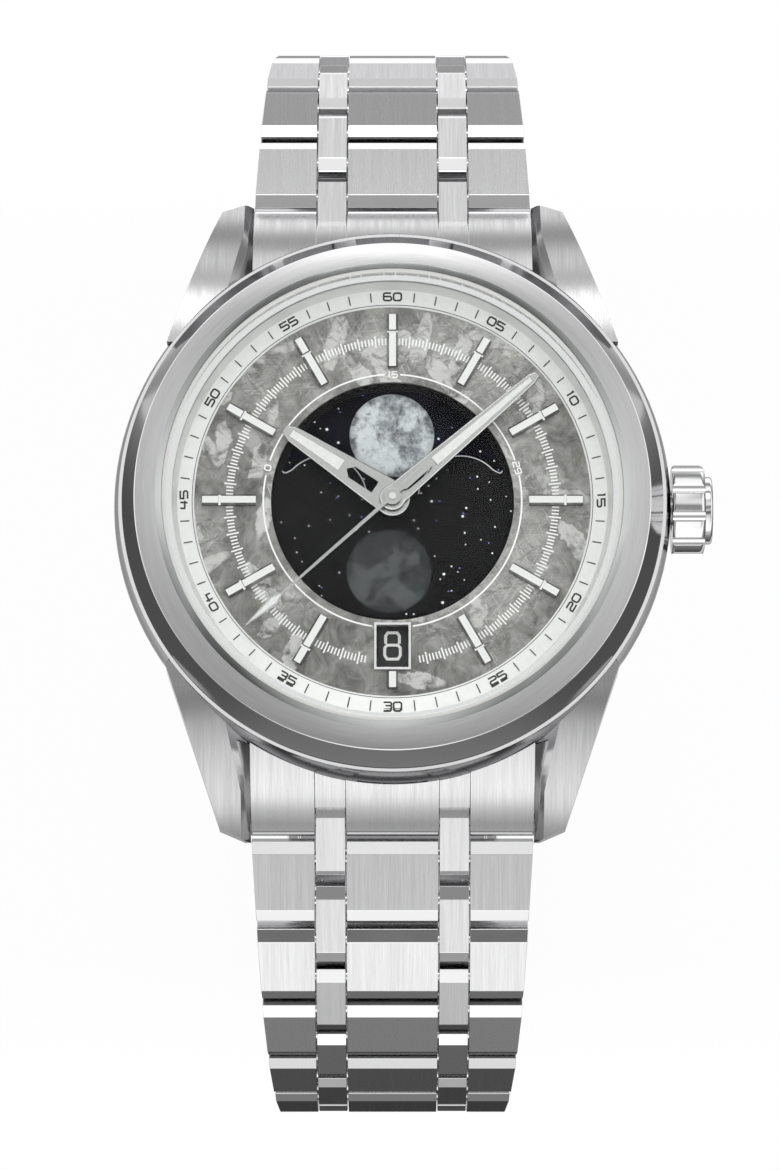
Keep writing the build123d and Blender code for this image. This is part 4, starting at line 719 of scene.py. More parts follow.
STROKES = {
    "0": [([(0.18, 0), (0, 0.18), (0, 0.82), (0.18, 1), (0.82, 1), (1, 0.82), (1, 0.18), (0.82, 0)], True)],
    "1": [([(0.2, 1), (0.55, 1), (0.55, 0)], False)],
    "2": [
        ([(0, 1), (0.84, 1), (1, 0.86), (1, 0.62), (0.84, 0.5), (0.16, 0.5), (0, 0.36), (0, 0),
          (1, 0)], False),
    ],
    "3": [
        ([(0, 1), (0.84, 1), (1, 0.86), (1, 0.62), (0.84, 0.5), (0.25, 0.5)], False),
        ([(0.84, 0.5), (1, 0.38), (1, 0.14), (0.84, 0), (0, 0)], False),
    ],
    "4": [([(0, 1), (0, 0.38), (1, 0.38)], False), ([(0.76, 1), (0.76, 0)], False)],
    "5": [([(1, 1), (0, 1), (0, 0.54), (0.84, 0.54), (1, 0.4), (1, 0.14), (0.84, 0), (0, 0)], False)],
    "6": [
        ([(0.95, 1), (0.16, 1), (0, 0.86), (0, 0.14), (0.16, 0), (0.84, 0), (1, 0.14), (1, 0.4),
          (0.84, 0.54), (0, 0.54)], False),
    ],
    "7": [([(0, 1), (1, 1), (1, 0.84), (0.4, 0)], False)],
    "8": [
        ([(0.14, 0.53), (0, 0.42), (0, 0.14), (0.16, 0), (0.84, 0), (1, 0.14), (1, 0.42),
          (0.86, 0.53)], True),
        ([(0.06, 0.585), (0.06, 0.88), (0.2, 1), (0.8, 1), (0.94, 0.88), (0.94, 0.585)], False),
    ],
    "9": [
        ([(0.05, 0), (0.84, 0), (1, 0.14), (1, 0.86), (0.84, 1), (0.16, 1), (0, 0.86), (0, 0.6),
          (0.16, 0.46), (1, 0.46)], False),
    ],
}


def figure_quads(text, wide, high, gap, stroke):
    """Quads of a line of figures, centred on the origin."""
    widths = [wide * (0.55 if c == "1" else 1.0) for c in text]
    total = sum(widths) + gap * (len(text) - 1)
    at = -total / 2
    quads = []
    for c, own in zip(text, widths):
        for line, closed in STROKES[c]:
            share = own / wide
            points = [
                (at + (x / share if c == "1" else x) * own * share, (y - 0.5) * high) for x, y in line
            ]
            quads += ribbon(points, stroke, closed)
        at += own + gap
    return quads


def on_ring(radius, clockwise, tops_out, height):
    """Places a figure's plane on a dial ring: up is outward, or inward at the bottom."""
    a = math.radians(clockwise)
    out = Vector((math.sin(a), math.cos(a)))
    right = Vector((math.cos(a), -math.sin(a)))
    up = out
    if not tops_out:
        right, up = -right, -out

    def place(x, y):
        """The point in space of a point of the figure's plane."""
        spot = out * radius + right * x + up * y
        z = height(spot.length) if callable(height) else height
        return (spot.x, spot.y, z)

    return place


# Geometry Nodes trees

def geometry_tree(name, sockets):
    """An empty tree with named inputs, its entry and its exit."""
    tree = bpy.data.node_groups.new(name, "GeometryNodeTree")
    tree.interface.new_socket("Geometry", in_out="INPUT", socket_type="NodeSocketGeometry")
    for label, kind, default in sockets:
        socket = tree.interface.new_socket(label, in_out="INPUT", socket_type=kind)
        if default is not None:
            socket.default_value = default
    tree.interface.new_socket("Geometry", in_out="OUTPUT", socket_type="NodeSocketGeometry")
    return tree, tree.nodes.new("NodeGroupInput"), tree.nodes.new("NodeGroupOutput")


def place_copies(tree, entry, leave, ins):
    """Ends a tree: copies on points, made real, in the tree's material."""
    copies = put(tree, "GeometryNodeInstanceOnPoints", ins)
    real = put(tree, "GeometryNodeRealizeInstances", {"Geometry": copies.outputs[0]})
    ins = {"Geometry": real.outputs[0], "Material": entry.outputs["Finish"]}
    feed(tree, leave, {0: put(tree, "GeometryNodeSetMaterial", ins).outputs[0]})


def grown(name, tree, values, body, material, base=None):
    """Runs a Geometry Nodes tree with its inputs set and keeps the plain mesh."""
    mesh = base or bpy.data.meshes.new(name + "_seed")
    carrier = bpy.data.objects.new(name + "_carrier", mesh)
    bpy.context.scene.collection.objects.link(carrier)
    modifier = carrier.modifiers.new("grow", "NODES")
    modifier.node_group = tree
    ids = {s.name: s.identifier for s in tree.interface.items_tree if s.in_out == "INPUT"}
    for label, value in values.items():
        modifier[ids[label]] = value
    modifier[ids["Finish"]] = material
    grown_mesh = settled(carrier)
    grown_mesh.name = name
    bpy.data.objects.remove(carrier)
    if base is None:
        bpy.data.meshes.remove(mesh)
    piece = bpy.data.objects.new(name, grown_mesh)
    bpy.context.scene.collection.objects.link(piece)
    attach(piece, body)
    return piece


def marks_tree():
    """Marks round a ring: every so many is long, and some are left out round gaps."""
    if "ring_marks" in bpy.data.node_groups:
        return bpy.data.node_groups["ring_marks"]
    tree, entry, leave = geometry_tree(
        "ring_marks",
        (
            ("Count", "NodeSocketInt", 60),
            ("Radius", "NodeSocketFloat", 0.01),
            ("Height", "NodeSocketFloat", 0.0),
            ("Slope", "NodeSocketFloat", 0.0),
            ("Length", "NodeSocketFloat", 0.001),
            ("Width", "NodeSocketFloat", 0.0001),
            ("Long Every", "NodeSocketInt", 5),
            ("Long Length", "NodeSocketFloat", 0.001),
            ("Skip Every", "NodeSocketInt", 5),
            ("Skip Half", "NodeSocketInt", 0),
            ("Wide Skip At", "NodeSocketInt", -100),
            ("Wide Skip Half", "NodeSocketInt", 0),
            ("Finish", "NodeSocketMaterial", None),
        ),
    )
    g = entry.outputs
    points = put(tree, "GeometryNodePoints", {"Count": g["Count"]})
    index = put(tree, "GeometryNodeInputIndex").outputs[0]
    angle = maths(tree, "MULTIPLY", maths(tree, "DIVIDE", index, g["Count"]), TURN)
    place = put(
        tree,
        "ShaderNodeCombineXYZ",
        {
            0: maths(tree, "MULTIPLY", maths(tree, "SINE", angle), g["Radius"]),
            1: maths(tree, "MULTIPLY", maths(tree, "COSINE", angle), g["Radius"]),
            2: g["Height"],
        },
    )
    ins = {"Geometry": points.outputs[0], "Position": place.outputs[0]}
    placed = put(tree, "GeometryNodeSetPosition", ins)
    half = maths(tree, "DIVIDE", g["Skip Every"], 2.0)
    step = maths(tree, "FLOORED_MODULO", maths(tree, "ADD", index, half), g["Skip Every"])
    near = maths(tree, "ABSOLUTE", maths(tree, "SUBTRACT", step, half))
    skip = maths(tree, "LESS_THAN", near, maths(tree, "ADD", g["Skip Half"], -0.5))
    off = maths(tree, "ABSOLUTE", maths(tree, "SUBTRACT", index, g["Wide Skip At"]))
    wide = maths(tree, "LESS_THAN", off, maths(tree, "ADD", g["Wide Skip Half"], -0.5))
    left_out = maths(tree, "GREATER_THAN", maths(tree, "MAXIMUM", skip, wide), 0.5)
    kept = put(tree, "GeometryNodeDeleteGeometry", {"Selection": left_out}, domain="POINT")
    long_mark = maths(tree, "LESS_THAN", maths(tree, "FLOORED_MODULO", index, g["Long Every"]), 0.5)
    longer = maths(tree, "SUBTRACT", maths(tree, "DIVIDE", g["Long Length"], g["Length"]), 1.0)
    stretch = maths(tree, "MULTIPLY_ADD", long_mark, longer, 1.0)
    # The index changes once points are left out, so the angle and the stretch are kept as attributes.
    geometry = placed.outputs[0]
    for label, value in (("turn", angle), ("stretch", stretch)):
        ins = {"Geometry": geometry, "Name": label, "Value": value}
        geometry = put(
            tree, "GeometryNodeStoreNamedAttribute", ins, data_type="FLOAT", domain="POINT"
        ).outputs[0]
    feed(tree, kept, {"Geometry": geometry})
    mark = put(
        tree,
        "GeometryNodeMeshGrid",
        {"Size X": g["Width"], "Size Y": g["Length"], "Vertices X": 2, "Vertices Y": 2},
    )
    turn_back, grow = [
        put(tree, "GeometryNodeInputNamedAttribute", {"Name": label}, data_type="FLOAT").outputs[0]
        for label in ("turn", "stretch")
    ]
    tilt = put(tree, "ShaderNodeCombineXYZ", {0: g["Slope"], 2: maths(tree, "MULTIPLY", turn_back, -1.0)})
    size = put(tree, "ShaderNodeCombineXYZ", {0: 1.0, 1: grow, 2: 1.0})
    place_copies(tree, entry, leave, {
        "Points": kept.outputs[0], "Instance": mark.outputs[0], "Rotation": tilt.outputs[0],
        "Scale": size.outputs[0],
    })
    return tree


def stars_tree():
    """Dots scattered over a surface, a few large and most small."""
    if "star_dots" in bpy.data.node_groups:
        return bpy.data.node_groups["star_dots"]
    tree, entry, leave = geometry_tree(
        "star_dots",
        (
            ("Density", "NodeSocketFloat", 1.0e6),
            ("Seed", "NodeSocketInt", 1),
            ("Small", "NodeSocketFloat", 0.00002),
            ("Large", "NodeSocketFloat", 0.00008),
            ("Drift", "NodeSocketFloat", 0.5),
            ("Low", "NodeSocketFloat", -1.0),
            ("Finish", "NodeSocketMaterial", None),
        ),
    )
    g = entry.outputs
    # More dots lie towards the lower right, by the share that Drift gives.
    x, y, _ = put(
        tree, "ShaderNodeSeparateXYZ", {0: put(tree, "GeometryNodeInputPosition").outputs[0]}
    ).outputs
    slant = maths(tree, "SUBTRACT", maths(tree, "MULTIPLY", x, 80.0), maths(tree, "MULTIPLY", y, 40.0))
    more = maths(tree, "MAXIMUM", maths(tree, "MULTIPLY_ADD", slant, g["Drift"], 1.0), 0.15)
    # None lie below the height that Low gives, where the smoked plate covers the disc.
    more = maths(tree, "MULTIPLY", more, maths(tree, "GREATER_THAN", y, g["Low"]))
    scatter = put(
        tree,
        "GeometryNodeDistributePointsOnFaces",
        {"Mesh": g["Geometry"], "Density": maths(tree, "MULTIPLY", g["Density"], more), "Seed": g["Seed"]},
    )
    chance = put(
        tree, "FunctionNodeRandomValue", {2: 0.0, 3: 1.0, "Seed": g["Seed"]}, data_type="FLOAT"
    ).outputs[1]
    weight = maths(tree, "POWER", chance, 5.0)
    range_of_sizes = maths(tree, "SUBTRACT", g["Large"], g["Small"])
    radius = maths(tree, "MULTIPLY_ADD", weight, range_of_sizes, g["Small"])
    dot = put(tree, "GeometryNodeMeshCircle", {"Vertices": 8, "Radius": 1.0}, fill_type="NGON")
    place_copies(tree, entry, leave, {
        "Points": scatter.outputs[0], "Instance": dot.outputs[0], "Scale": radius,
    })
    return tree


# Properties

class CaseSettings(bpy.types.PropertyGroup):
    brushed: bpy.props.FloatVectorProperty(
        name="Brushed steel", description="Colour of the brushed steel", subtype="COLOR",
        default=(0.60, 0.60, 0.605), min=0, max=1,
    )
    polished: bpy.props.FloatVectorProperty(
        name="Polished steel", description="Colour of the polished steel", subtype="COLOR",
        default=(0.74, 0.74, 0.745), min=0, max=1,
    )
    grain: bpy.props.FloatProperty(
        name="Grain", description="Brush lines to a millimetre", default=9.0, min=1.0, max=40.0,
    )
    edge: bpy.props.FloatProperty(
        name="Edge break", description="Width of the broken edges", default=0.06 * MM,
        unit="LENGTH", subtype="DISTANCE",
    )


class DialSettings(bpy.types.PropertyGroup):
    minute_ticks: bpy.props.IntProperty(
        name="Track ticks", description="Ticks of the white track", default=300, min=60, max=600,
    )
    track_radius: bpy.props.FloatProperty(
        name="Track radius", description="Middle of the white track", default=12.6 * MM,
        unit="LENGTH", subtype="DISTANCE",
    )
    ring_radius: bpy.props.FloatProperty(
        name="Moon ring radius", description="Middle of the thin white ring", default=9.98 * MM,
        unit="LENGTH", subtype="DISTANCE",
    )
    aperture: bpy.props.FloatProperty(
        name="Aperture radius", description="Radius of the dial's opening", default=9.39 * MM,
        unit="LENGTH", subtype="DISTANCE",
    )
    print_white: bpy.props.FloatVectorProperty(
        name="White print", description="Colour of the dial's print", subtype="COLOR",
        default=(0.86, 0.86, 0.84), min=0, max=1,
    )
    print_black: bpy.props.FloatVectorProperty(
        name="Black print", description="Colour of the outer ring's print", subtype="COLOR",
        default=(0.02, 0.02, 0.02), min=0, max=1,
    )


class MoonSettings(bpy.types.PropertyGroup):
    moon_radius: bpy.props.FloatProperty(
        name="Moon radius", description="Radius of each moon", default=3.28 * MM,
        unit="LENGTH", subtype="DISTANCE",
    )
    orbit: bpy.props.FloatProperty(
        name="Moon orbit", description="Distance of each moon from the centre", default=5.34 * MM,
        unit="LENGTH", subtype="DISTANCE",
    )
    star_seed: bpy.props.IntProperty(
        name="Star seed", description="Seed of the scattered stars", default=11, min=0,
    )


class StageSettings(bpy.types.PropertyGroup):
    tilt: bpy.props.FloatProperty(
        name="Camera tilt", description="Angle of the camera off the dial's axis, towards 6 o'clock",
        default=math.radians(11.56), unit="ROTATION", subtype="ANGLE",
    )
    distance: bpy.props.FloatProperty(
        name="Camera distance", description="Distance of the camera from the dial", default=0.41,
        unit="LENGTH", subtype="DISTANCE",
    )
    floor: bpy.props.FloatVectorProperty(
        name="Floor", description="Colour of the floor", subtype="COLOR",
        default=(0.9, 0.9, 0.9), min=0, max=1,
    )


def settings():
    """The four groups of settings, in the panel's order."""
    scene = bpy.context.scene
    return scene.watch_case, scene.watch_dial, scene.watch_moon, scene.watch_stage


def steels():
    """The four steels that more than one piece has."""
    case = settings()[0]
    brushed = tuple(case.brushed)
    return {
        "drawn": drawn_steel("drawn_steel", case.grain, 0.22, brushed, 0.26, 1.1),
        # The lugs get the brushed steel made darker: painted shade for their dimmer reflection.
        "lug": drawn_steel("drawn_steel_lug", case.grain, 0.25, tinted(brushed, 0.82), 0.28, 1.2),
        # The bezel's turned steel is the brushed steel made lighter: painted light that makes up for the
        # reflection its round brushing spreads.
        "turned": turned_steel("turned_steel", case.grain, tinted(brushed, 1.1), 0.3, 1.2),
        "polished": mirror_steel("mirror_steel", tuple(case.polished)),
    }


# Operators

class WATCH_OT_case(bpy.types.Operator):
    """Finish the mid-case, bezel, caseback, crown and spring bars."""

    bl_idname = "watch.case_finish"
    bl_label = "Case"

    def execute(self, context):
        steel = steels()
        edge = settings()[0].edge / MM
        profile = [
            (17.3, BEZEL_LOW), (18.2, BEZEL_LOW), (18.2, CASE_TOP), (20.95, CASE_TOP),
            (20.97, CASE_TOP + 0.28), (20.62, CASE_TOP + 0.93), (19.95, CASE_TOP + 2.28),
            (19.88, CASE_TOP + 2.32), (18.3, CASE_TOP + 2.75), (17.8, BEZEL_TOP), (17.78, 10.2),
            (16.97, 10.2), (16.97, 9.75), (17.3, 9.75),
        ]
        # The inner rim's slope gets a darker copy of the polished steel: painted shade that dims its
        # reflection.
        rim = mirror_steel("bezel_rim_painted_shade_steel", (0.52, 0.535, 0.53), 0.1, 0.18)
        bezel = turned("bezel_finish", profile, "head", [steel["turned"], steel["polished"], rim], 360, 14)

        def bezel_side(normal, centre):
            """Brushed on top, polished on the sides, darker on the inner rim as painted shade."""
            r = math.hypot(centre.x, centre.y)
            if 17.7 < r < 18.25 and normal.z > 0.5:
                return 2
            return 0 if 18.25 < r < 19.9 and normal.z > 0.5 else 1

        paint_faces(bezel, bezel_side)
        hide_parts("bezel")
        # The round sides get a darker copy of the polished steel: painted shade that sets the case off from
        # the white background.
        flank_painted_shade = mirror_steel("case_flank_painted_shade_steel", (0.5, 0.5, 0.505), 0.1, 0.18)
        finishes = [steel["lug"], steel["polished"], flank_painted_shade]
        mid = cad_copy("mid_case", edge, "head", finishes, angle=24, sharp=20)

        def case_side(normal, centre):
            """Brushed on the lugs' tops; the round sides get a darker polished steel as painted shade."""
            lug_top = abs(centre.y) > 12 and normal.z > 0.3 and abs(normal.x) < 0.12
            round_side = abs(normal.z) < 0.9 and math.hypot(centre.x, centre.y) > 19
            return 0 if lug_top else 2 if round_side else 1

        paint_faces(mid, case_side)
        back = cad_copy("caseback", edge, "head", [steel["polished"], steel["turned"]], angle=30, sharp=24)
        paint_faces(back, lambda normal, centre: 1 if normal.z < -0.9 and centre.z < 0.1 else 0)
        crown = cad_copy("crown", 0.05, "crown", [steel["polished"]], angle=30, sharp=30)
        for node in ("crown_tube", "crown_stem", "setting_lever", "spring_bars"):
            refinish(node, plain_metal("turned_pin", (0.6, 0.6, 0.61), 0.28))
        refinish("seal_rings", plain_polymer("seal_nylon", (0.7, 0.71, 0.71), 0.45))
        return {"FINISHED"}


class WATCH_OT_bracelet(bpy.types.Operator):
    """Finish the end links, the bracelet rows and the clasp."""

    bl_idname = "watch.bracelet_finish"
    bl_label = "Bracelet"

    def execute(self, context):
        steel = steels()
        edge = settings()[0].edge / MM
        pair = [steel["drawn"], steel["polished"]]

        def flat_side(side, angles, keep):
            """Brushes the faces that look along one of the angles; the others are polished."""
            directions = [(side * math.sin(math.radians(a)), math.cos(math.radians(a))) for a in angles]

            def choose(normal, _centre):
                """Brushed where the face looks along an angle."""
                if abs(normal.x) > 0.3:
                    return 1
                return 0 if any(normal.y * y + normal.z * z > keep for y, z in directions) else 1

            return choose

        for name, side in (("upper", 1), ("lower", -1)):
            end = cad_copy(name + "_end_link", edge, "head", pair, angle=26, sharp=20)

            def end_side(normal, centre, side=side):
                """Brushed on the tops of the end link and of its first narrow pieces."""
                if abs(normal.x) > 0.3:
                    return 1
                y = abs(centre.y)
                if y > 24.3 and normal.z > 0.995 * math.cos(math.radians(FIRST_NARROW)) - 0.2:
                    lean = math.degrees(math.atan2(side * normal.y, normal.z))
                    if abs(lean - FIRST_NARROW) < 6:
                        return 0
                return 0 if normal.z > 0.45 and y < 24.6 else 1

            paint_faces(end, end_side)
            for i in range(9):
                here = ROW_ANGLES[i]
                narrow = (here + ROW_ANGLES[i + 1]) / 2
                node = f"{name}_row_{i + 1}"
                row = cad_copy(node, edge, node, pair, angle=23, sharp=20)
                paint_faces(row, flat_side(side, (here, narrow), math.cos(math.radians(5))))
        for node, broken in (("clasp_cover", 0.12), ("cover_ears", 0.08)):
            cover = cad_copy(node, broken, "clasp_cover", pair, angle=26, sharp=20)
            paint_faces(cover, lambda normal, centre: 0 if normal.z < -0.95 else 1)
        for node in ("clasp_long_blade", "clasp_short_blade"):
            blade = cad_copy(node, edge, node, pair, angle=26, sharp=20)
            paint_faces(blade, lambda normal, centre: 0 if abs(normal.z) > 0.95 else 1)
        for node in ("left_button", "right_button"):
            button = cad_copy(node, 0.15, node, [steel["polished"]], angle=26, sharp=20)
        return {"FINISHED"}


class WATCH_OT_crystal(bpy.types.Operator):
    """Make the crystal."""

    bl_idname = "watch.crystal"
    bl_label = "Crystal"

    def execute(self, context):
        low, high = low_of("crystal"), top_of("crystal")
        profile = [
            (0, low), (CRYSTAL_RADIUS, low), (CRYSTAL_RADIUS, high - 0.35), (17.4, high - 0.3),
            (16.97, high - 0.02), (16.9, high), (0, high),
        ]
        crystal = turned("crystal_glass", profile, "head", [clear_crystal("clear_crystal")], 288, 20)
        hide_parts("crystal")
        return {"FINISHED"}


class WATCH_OT_dial(bpy.types.Operator):
    """Make the dial plate and its white print."""

    bl_idname = "watch.dial"
    bl_label = "Dial"

    def execute(self, context):
        dial = settings()[1]
        aperture = dial.aperture / MM
        window = [(-1.215, -13.06), (1.215, -13.06), (1.215, -9.8), (-1.215, -9.8)]
        loops = [circle(DIAL_RADIUS, 240), circle(aperture, 240), window]
        plate = slab("dial_plate", loops, DIAL_LOW, DIAL_TOP, "head", [etched_iron("etched_iron")])
        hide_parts("dial")
        white = ink("white_print", tuple(dial.print_white), 0.5)
        height = DIAL_TOP + PRINT_LIFT
        radius = dial.ring_radius / MM
        # The ring stops at its three figures and at the date frame.
        quads = []
        for start, stop in ((3.4, 71.5), (78.5, 171.0), (189.0, 281.6), (288.4, 356.6)):
            steps = max(8, int((stop - start) / 1.5))
            turns = [math.radians(start + (stop - start) * i / steps) for i in range(steps + 1)]
            points = [(radius * math.sin(a), radius * math.cos(a)) for a in turns]
            quads += ribbon(points[::-1], 0.13)
        ring = flat_marks("moon_ring_print", quads, lambda x, y: (x, y, height), "head", white)
        for text, clockwise in (("15", 0), ("29", 75), ("0", -75)):
            piece = flat_marks(
                "moon_figure_" + text, figure_quads(text, 0.4, 0.46, 0.13, 0.095),
                on_ring(radius, clockwise, True, height), "head", white,
            )
        track = grown(
            "minute_track", marks_tree(),
            {
                "Count": dial.minute_ticks, "Radius": dial.track_radius, "Height": height * MM,
                "Length": 0.55 * MM, "Width": 0.115 * MM, "Long Every": 5, "Long Length": 0.95 * MM,
                "Skip Every": 25, "Skip Half": 2, "Wide Skip At": 150, "Wide Skip Half": 8,
            },
            "head", white,
        )
        frame_piece = cad_copy("date_frame", 0.04, "head", [steels()["polished"]], 1)
        return {"FINISHED"}


class WATCH_OT_chapter(bpy.types.Operator):
    """Make the sloping minute ring and its black figures."""

    bl_idname = "watch.chapter_ring"
    bl_label = "Minute ring"

    def execute(self, context):
        dial = settings()[1]
        low = DIAL_TOP
        inner, knee, outer = (15.3, low + 0.12), (16.6, low + 0.42), (16.96, CHAPTER_TOP)
        ring = turned(
            "minute_ring",
            [(inner[0], low), (17.2, low), (17.2, CHAPTER_TOP), outer, knee,
             (inner[0] + 0.05, inner[1] + 0.01), (inner[0], inner[1] - 0.04)],
            "head", [satin_silver("satin_silver")], 288, 14,
        )
        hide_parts("chapter_ring")
        black = ink("black_print", tuple(dial.print_black), 0.55)
        rise = (knee[1] - inner[1]) / (knee[0] - inner[0])

        def height(r):
            """The height of the print on the ring's slope."""
            return inner[1] + (r - inner[0]) * rise + SLOPE_LIFT

        middle = CHAPTER_FIGURES_RADIUS
        ticks = grown(
            "minute_ring_ticks", marks_tree(),
            {
                "Count": 60, "Radius": middle * MM, "Height": height(middle) * MM, "Slope": math.atan(rise),
                "Length": 0.72 * MM, "Width": 0.095 * MM, "Long Every": 1, "Long Length": 0.72 * MM,
                "Skip Every": 5, "Skip Half": 1,
            },
            "head", black,
        )
        line = ribbon(circle(15.47, 240), 0.05, True)
        edge_line = flat_marks(
            "minute_ring_line", line, lambda x, y: (x, y, height(math.hypot(x, y))), "head", black
        )
        for minute in range(5, 65, 5):
            text = f"{minute:02d}"
            tops_out = minute not in (20, 25, 30, 35, 40)
            quads = figure_quads(text, 0.6, 0.56, 0.17, 0.135)
            piece = flat_marks(
                "minute_figure_" + text, quads, on_ring(middle, minute * 6, tops_out, height), "head", black
            )
        return {"FINISHED"}


class WATCH_OT_markers(bpy.types.Operator):
    """Finish the applied hour markers."""

    bl_idname = "watch.hour_markers"
    bl_label = "Hour markers"

    def execute(self, context):
        bright = mirror_steel("marker_steel", (0.86, 0.86, 0.85), 0.08, 0.16)
        # The sides get a dark copy of the markers' steel: painted shade that outlines each marker.
        shaded = mirror_steel("marker_side_painted_shade_steel", (0.42, 0.42, 0.41), 0.1, 0.2)
        markers = cad_copy("hour_indices", 0.02, "head", [bright, shaded], 1, angle=20, sharp=12)
        paint_faces(markers, lambda normal, centre: 0 if normal.z > 0.96 else 1)
        return {"FINISHED"}


def arc_points(centre, radius, start, stop, steps):
    """Points along an arc, with angles counted from +X the usual way round."""
    turns = [math.radians(start + (stop - start) * i / steps) for i in range(steps + 1)]
    return [(centre[0] + radius * math.cos(a), centre[1] + radius * math.sin(a)) for a in turns]


def mirrored(centre):
    """The same spot on the other side of the dial's middle."""
    return (-centre[0], centre[1])


def moon_window():
    """The outline of the two-humped window, anticlockwise."""
    outer = arc_points((0, 0), 8.8, 15.2, 164.8, 120)
    left_corner = arc_points(mirrored(CORNER_CENTRE), 0.2, 170, 285, 8)
    left_hump = arc_points(mirrored(HUMP_CENTRE), HUMP_RADIUS, 138, 5, 60)
    collar = arc_points((0, 0), 2.0, 173, 7, 24)
    right_hump = arc_points(HUMP_CENTRE, HUMP_RADIUS, 175, 42, 60)
    right_corner = arc_points(CORNER_CENTRE, 0.2, 255, 370, 8)
    return outer + left_corner + left_hump + collar + right_hump + right_corner


class WATCH_OT_moons(bpy.types.Operator):
    """Make the smoked plate, the moon disc and the stars."""

    bl_idname = "watch.moon_display"
    bl_label = "Moon display"

    def execute(self, context):
        moon = settings()[2]
        radius, orbit = moon.moon_radius / MM, moon.orbit / MM
        self.disc(radius, orbit)
        plate_low, plate_top = low_of("moon_plate"), top_of("moon_plate")
        window = moon_window()
        loops = [circle(MOON_PLATE_RADIUS, 240), window, circle(ARBOR_HOLE, 48)]
        smoke = smoked_plate("smoked_plate")
        plate = slab("smoked_moon_plate", loops, plate_low, plate_top, "head", [smoke])
        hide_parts("moon_plate")
        glow = ink("star_print", (0.9, 0.92, 0.95), 0.6)
        # Stars lie clear of the arbor and of the moons, and on the plate clear of the window too.
        sky = self.field("sky_seed", MOON_TOP, [
            circle(1.4, 32), circle(radius + 0.15, 64, (UPPER_MOON_X, orbit)),
            circle(radius + 0.15, 64, (LOWER_MOON_X, -orbit)),
        ])
        cloth = self.field("plate_seed", plate_top, [
            window, circle(0.9, 24), circle(radius + 0.1, 64, (LOWER_MOON_X, -orbit - 0.1)),
        ])
        blue = ink("star_print_blue", (0.22, 0.3, 0.75), 0.6)
        for name, seed, body, base, density, large, finish in (
            ("moon_disc_stars", 0, "moon_disc", sky, 0.5e6, 0.13, glow),
            ("moon_disc_blue_stars", 1, "moon_disc", sky, 0.3e6, 0.06, blue),
            ("moon_plate_stars", 3, "head", cloth, 0.3e6, 0.13, glow),
            ("moon_plate_blue_stars", 4, "head", cloth, 0.12e6, 0.055, blue),
        ):
            dots = grown(
                name, stars_tree(),
                {
                    "Density": density, "Seed": moon.star_seed + seed, "Small": 0.045 * MM,
                    "Large": large * MM, "Drift": 0.75 if body == "head" else 0.0,
                    "Low": -1.0 if body == "head" else 1.5 * MM,
                },
                body, finish, base,
            )
        for seed_mesh in (sky, cloth):
            bpy.data.meshes.remove(seed_mesh)
        line = ink("window_line", (0.55, 0.56, 0.58), 0.5)
        quads = []
        for sign in (1, -1):
            arc = arc_points(HUMP_CENTRE, HUMP_RADIUS, 42, 175, 60)
            hook = arc_points(CORNER_CENTRE, 0.24, -20, -105, 6)
            points = [(sign * x, y) for x, y in hook + arc]
            quads += ribbon(points if sign < 0 else points[::-1], 0.075)
        top = plate_top + LINE_LIFT
        rim_line = flat_marks("window_edge_line", quads, lambda x, y: (x, y, top), "head", line)
        return {"FINISHED"}

    def disc(self, radius, orbit):
        """The toothed moon disc."""
        rim = []
        for t in range(MOON_DISC_TEETH):
            for share, r in ((0.0, 9.5), (0.5, 9.3)):
                a = TURN * (t + share) / MOON_DISC_TEETH
                rim.append((r * math.sin(a), r * math.cos(a)))
        disc = slab("moon_disc_face", [rim, circle(ARBOR_HOLE, 48)], low_of("moon_disc"), MOON_TOP,
                    "moon_disc", [night_disc("night_disc", radius, orbit)])
        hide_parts("moon_disc")

    def field(self, name, top, holes):
        """A mesh that stars are scattered on, just above a face."""
        points, faces = filled([circle(STAR_FIELD, 90)] + holes)
        mesh = bpy.data.meshes.new(name)
        mesh.from_pydata([(x * MM, y * MM, (top + STAR_LIFT) * MM) for x, y in points], [], faces)
        return mesh


class WATCH_OT_date(bpy.types.Operator):
    """Finish the date ring and number it from one to thirty-one."""

    bl_idname = "watch.date_ring"
    bl_label = "Date ring"

    def execute(self, context):
        refinish("date_ring", ink("date_black_face", (0.006, 0.006, 0.007), 0.5))
        pale = ink("date_figures", (0.75, 0.75, 0.73), 0.5)
        days, shown = 31, 8
        for day in range(1, days + 1):
            # The day that shows stands in the window at 6 o'clock.
            clockwise = 180 - (day - shown) * 360 / days
            text = str(day)
            wide = 1.2 if len(text) == 1 else 0.82
            quads = figure_quads(text, wide, 2.05, 0.3, 0.22)
            piece = flat_marks(
                f"date_figure_{day}", quads,
                on_ring(DATE_FIGURES_RADIUS, clockwise, False, DATE_TOP + PRINT_LIFT), "date_ring", pale,
            )
        return {"FINISHED"}


class WATCH_OT_hands(bpy.types.Operator):
    """Finish the hands and their white inlays."""

    bl_idname = "watch.hands"
    bl_label = "Hands"

    def execute(self, context):
        white = ink("hand_lume", (0.70, 0.70, 0.69), 0.55)
        # The hands' flats get a dark satin copy of the steel as painted shade, and their bevels a light
        # copy as painted highlight lines.
        satin = mirror_steel("hand_painted_shade_steel", (0.46, 0.46, 0.455), 0.2, 0.3)
        rim = mirror_steel("hand_edge_painted_highlight_steel", (0.80, 0.80, 0.795), 0.12, 0.2)
        for node, edge in (("hour_hand", 0.08), ("minute_hand", 0.07), ("second_hand", 0.035)):
            hand = cad_copy(node, edge, node, [satin, rim], 1, angle=30, sharp=14)
            paint_faces(hand, lambda normal, centre: 1 if 0.2 < normal.z < 0.95 else 0)
            refinish(node + "_inlay", white)
        return {"FINISHED"}


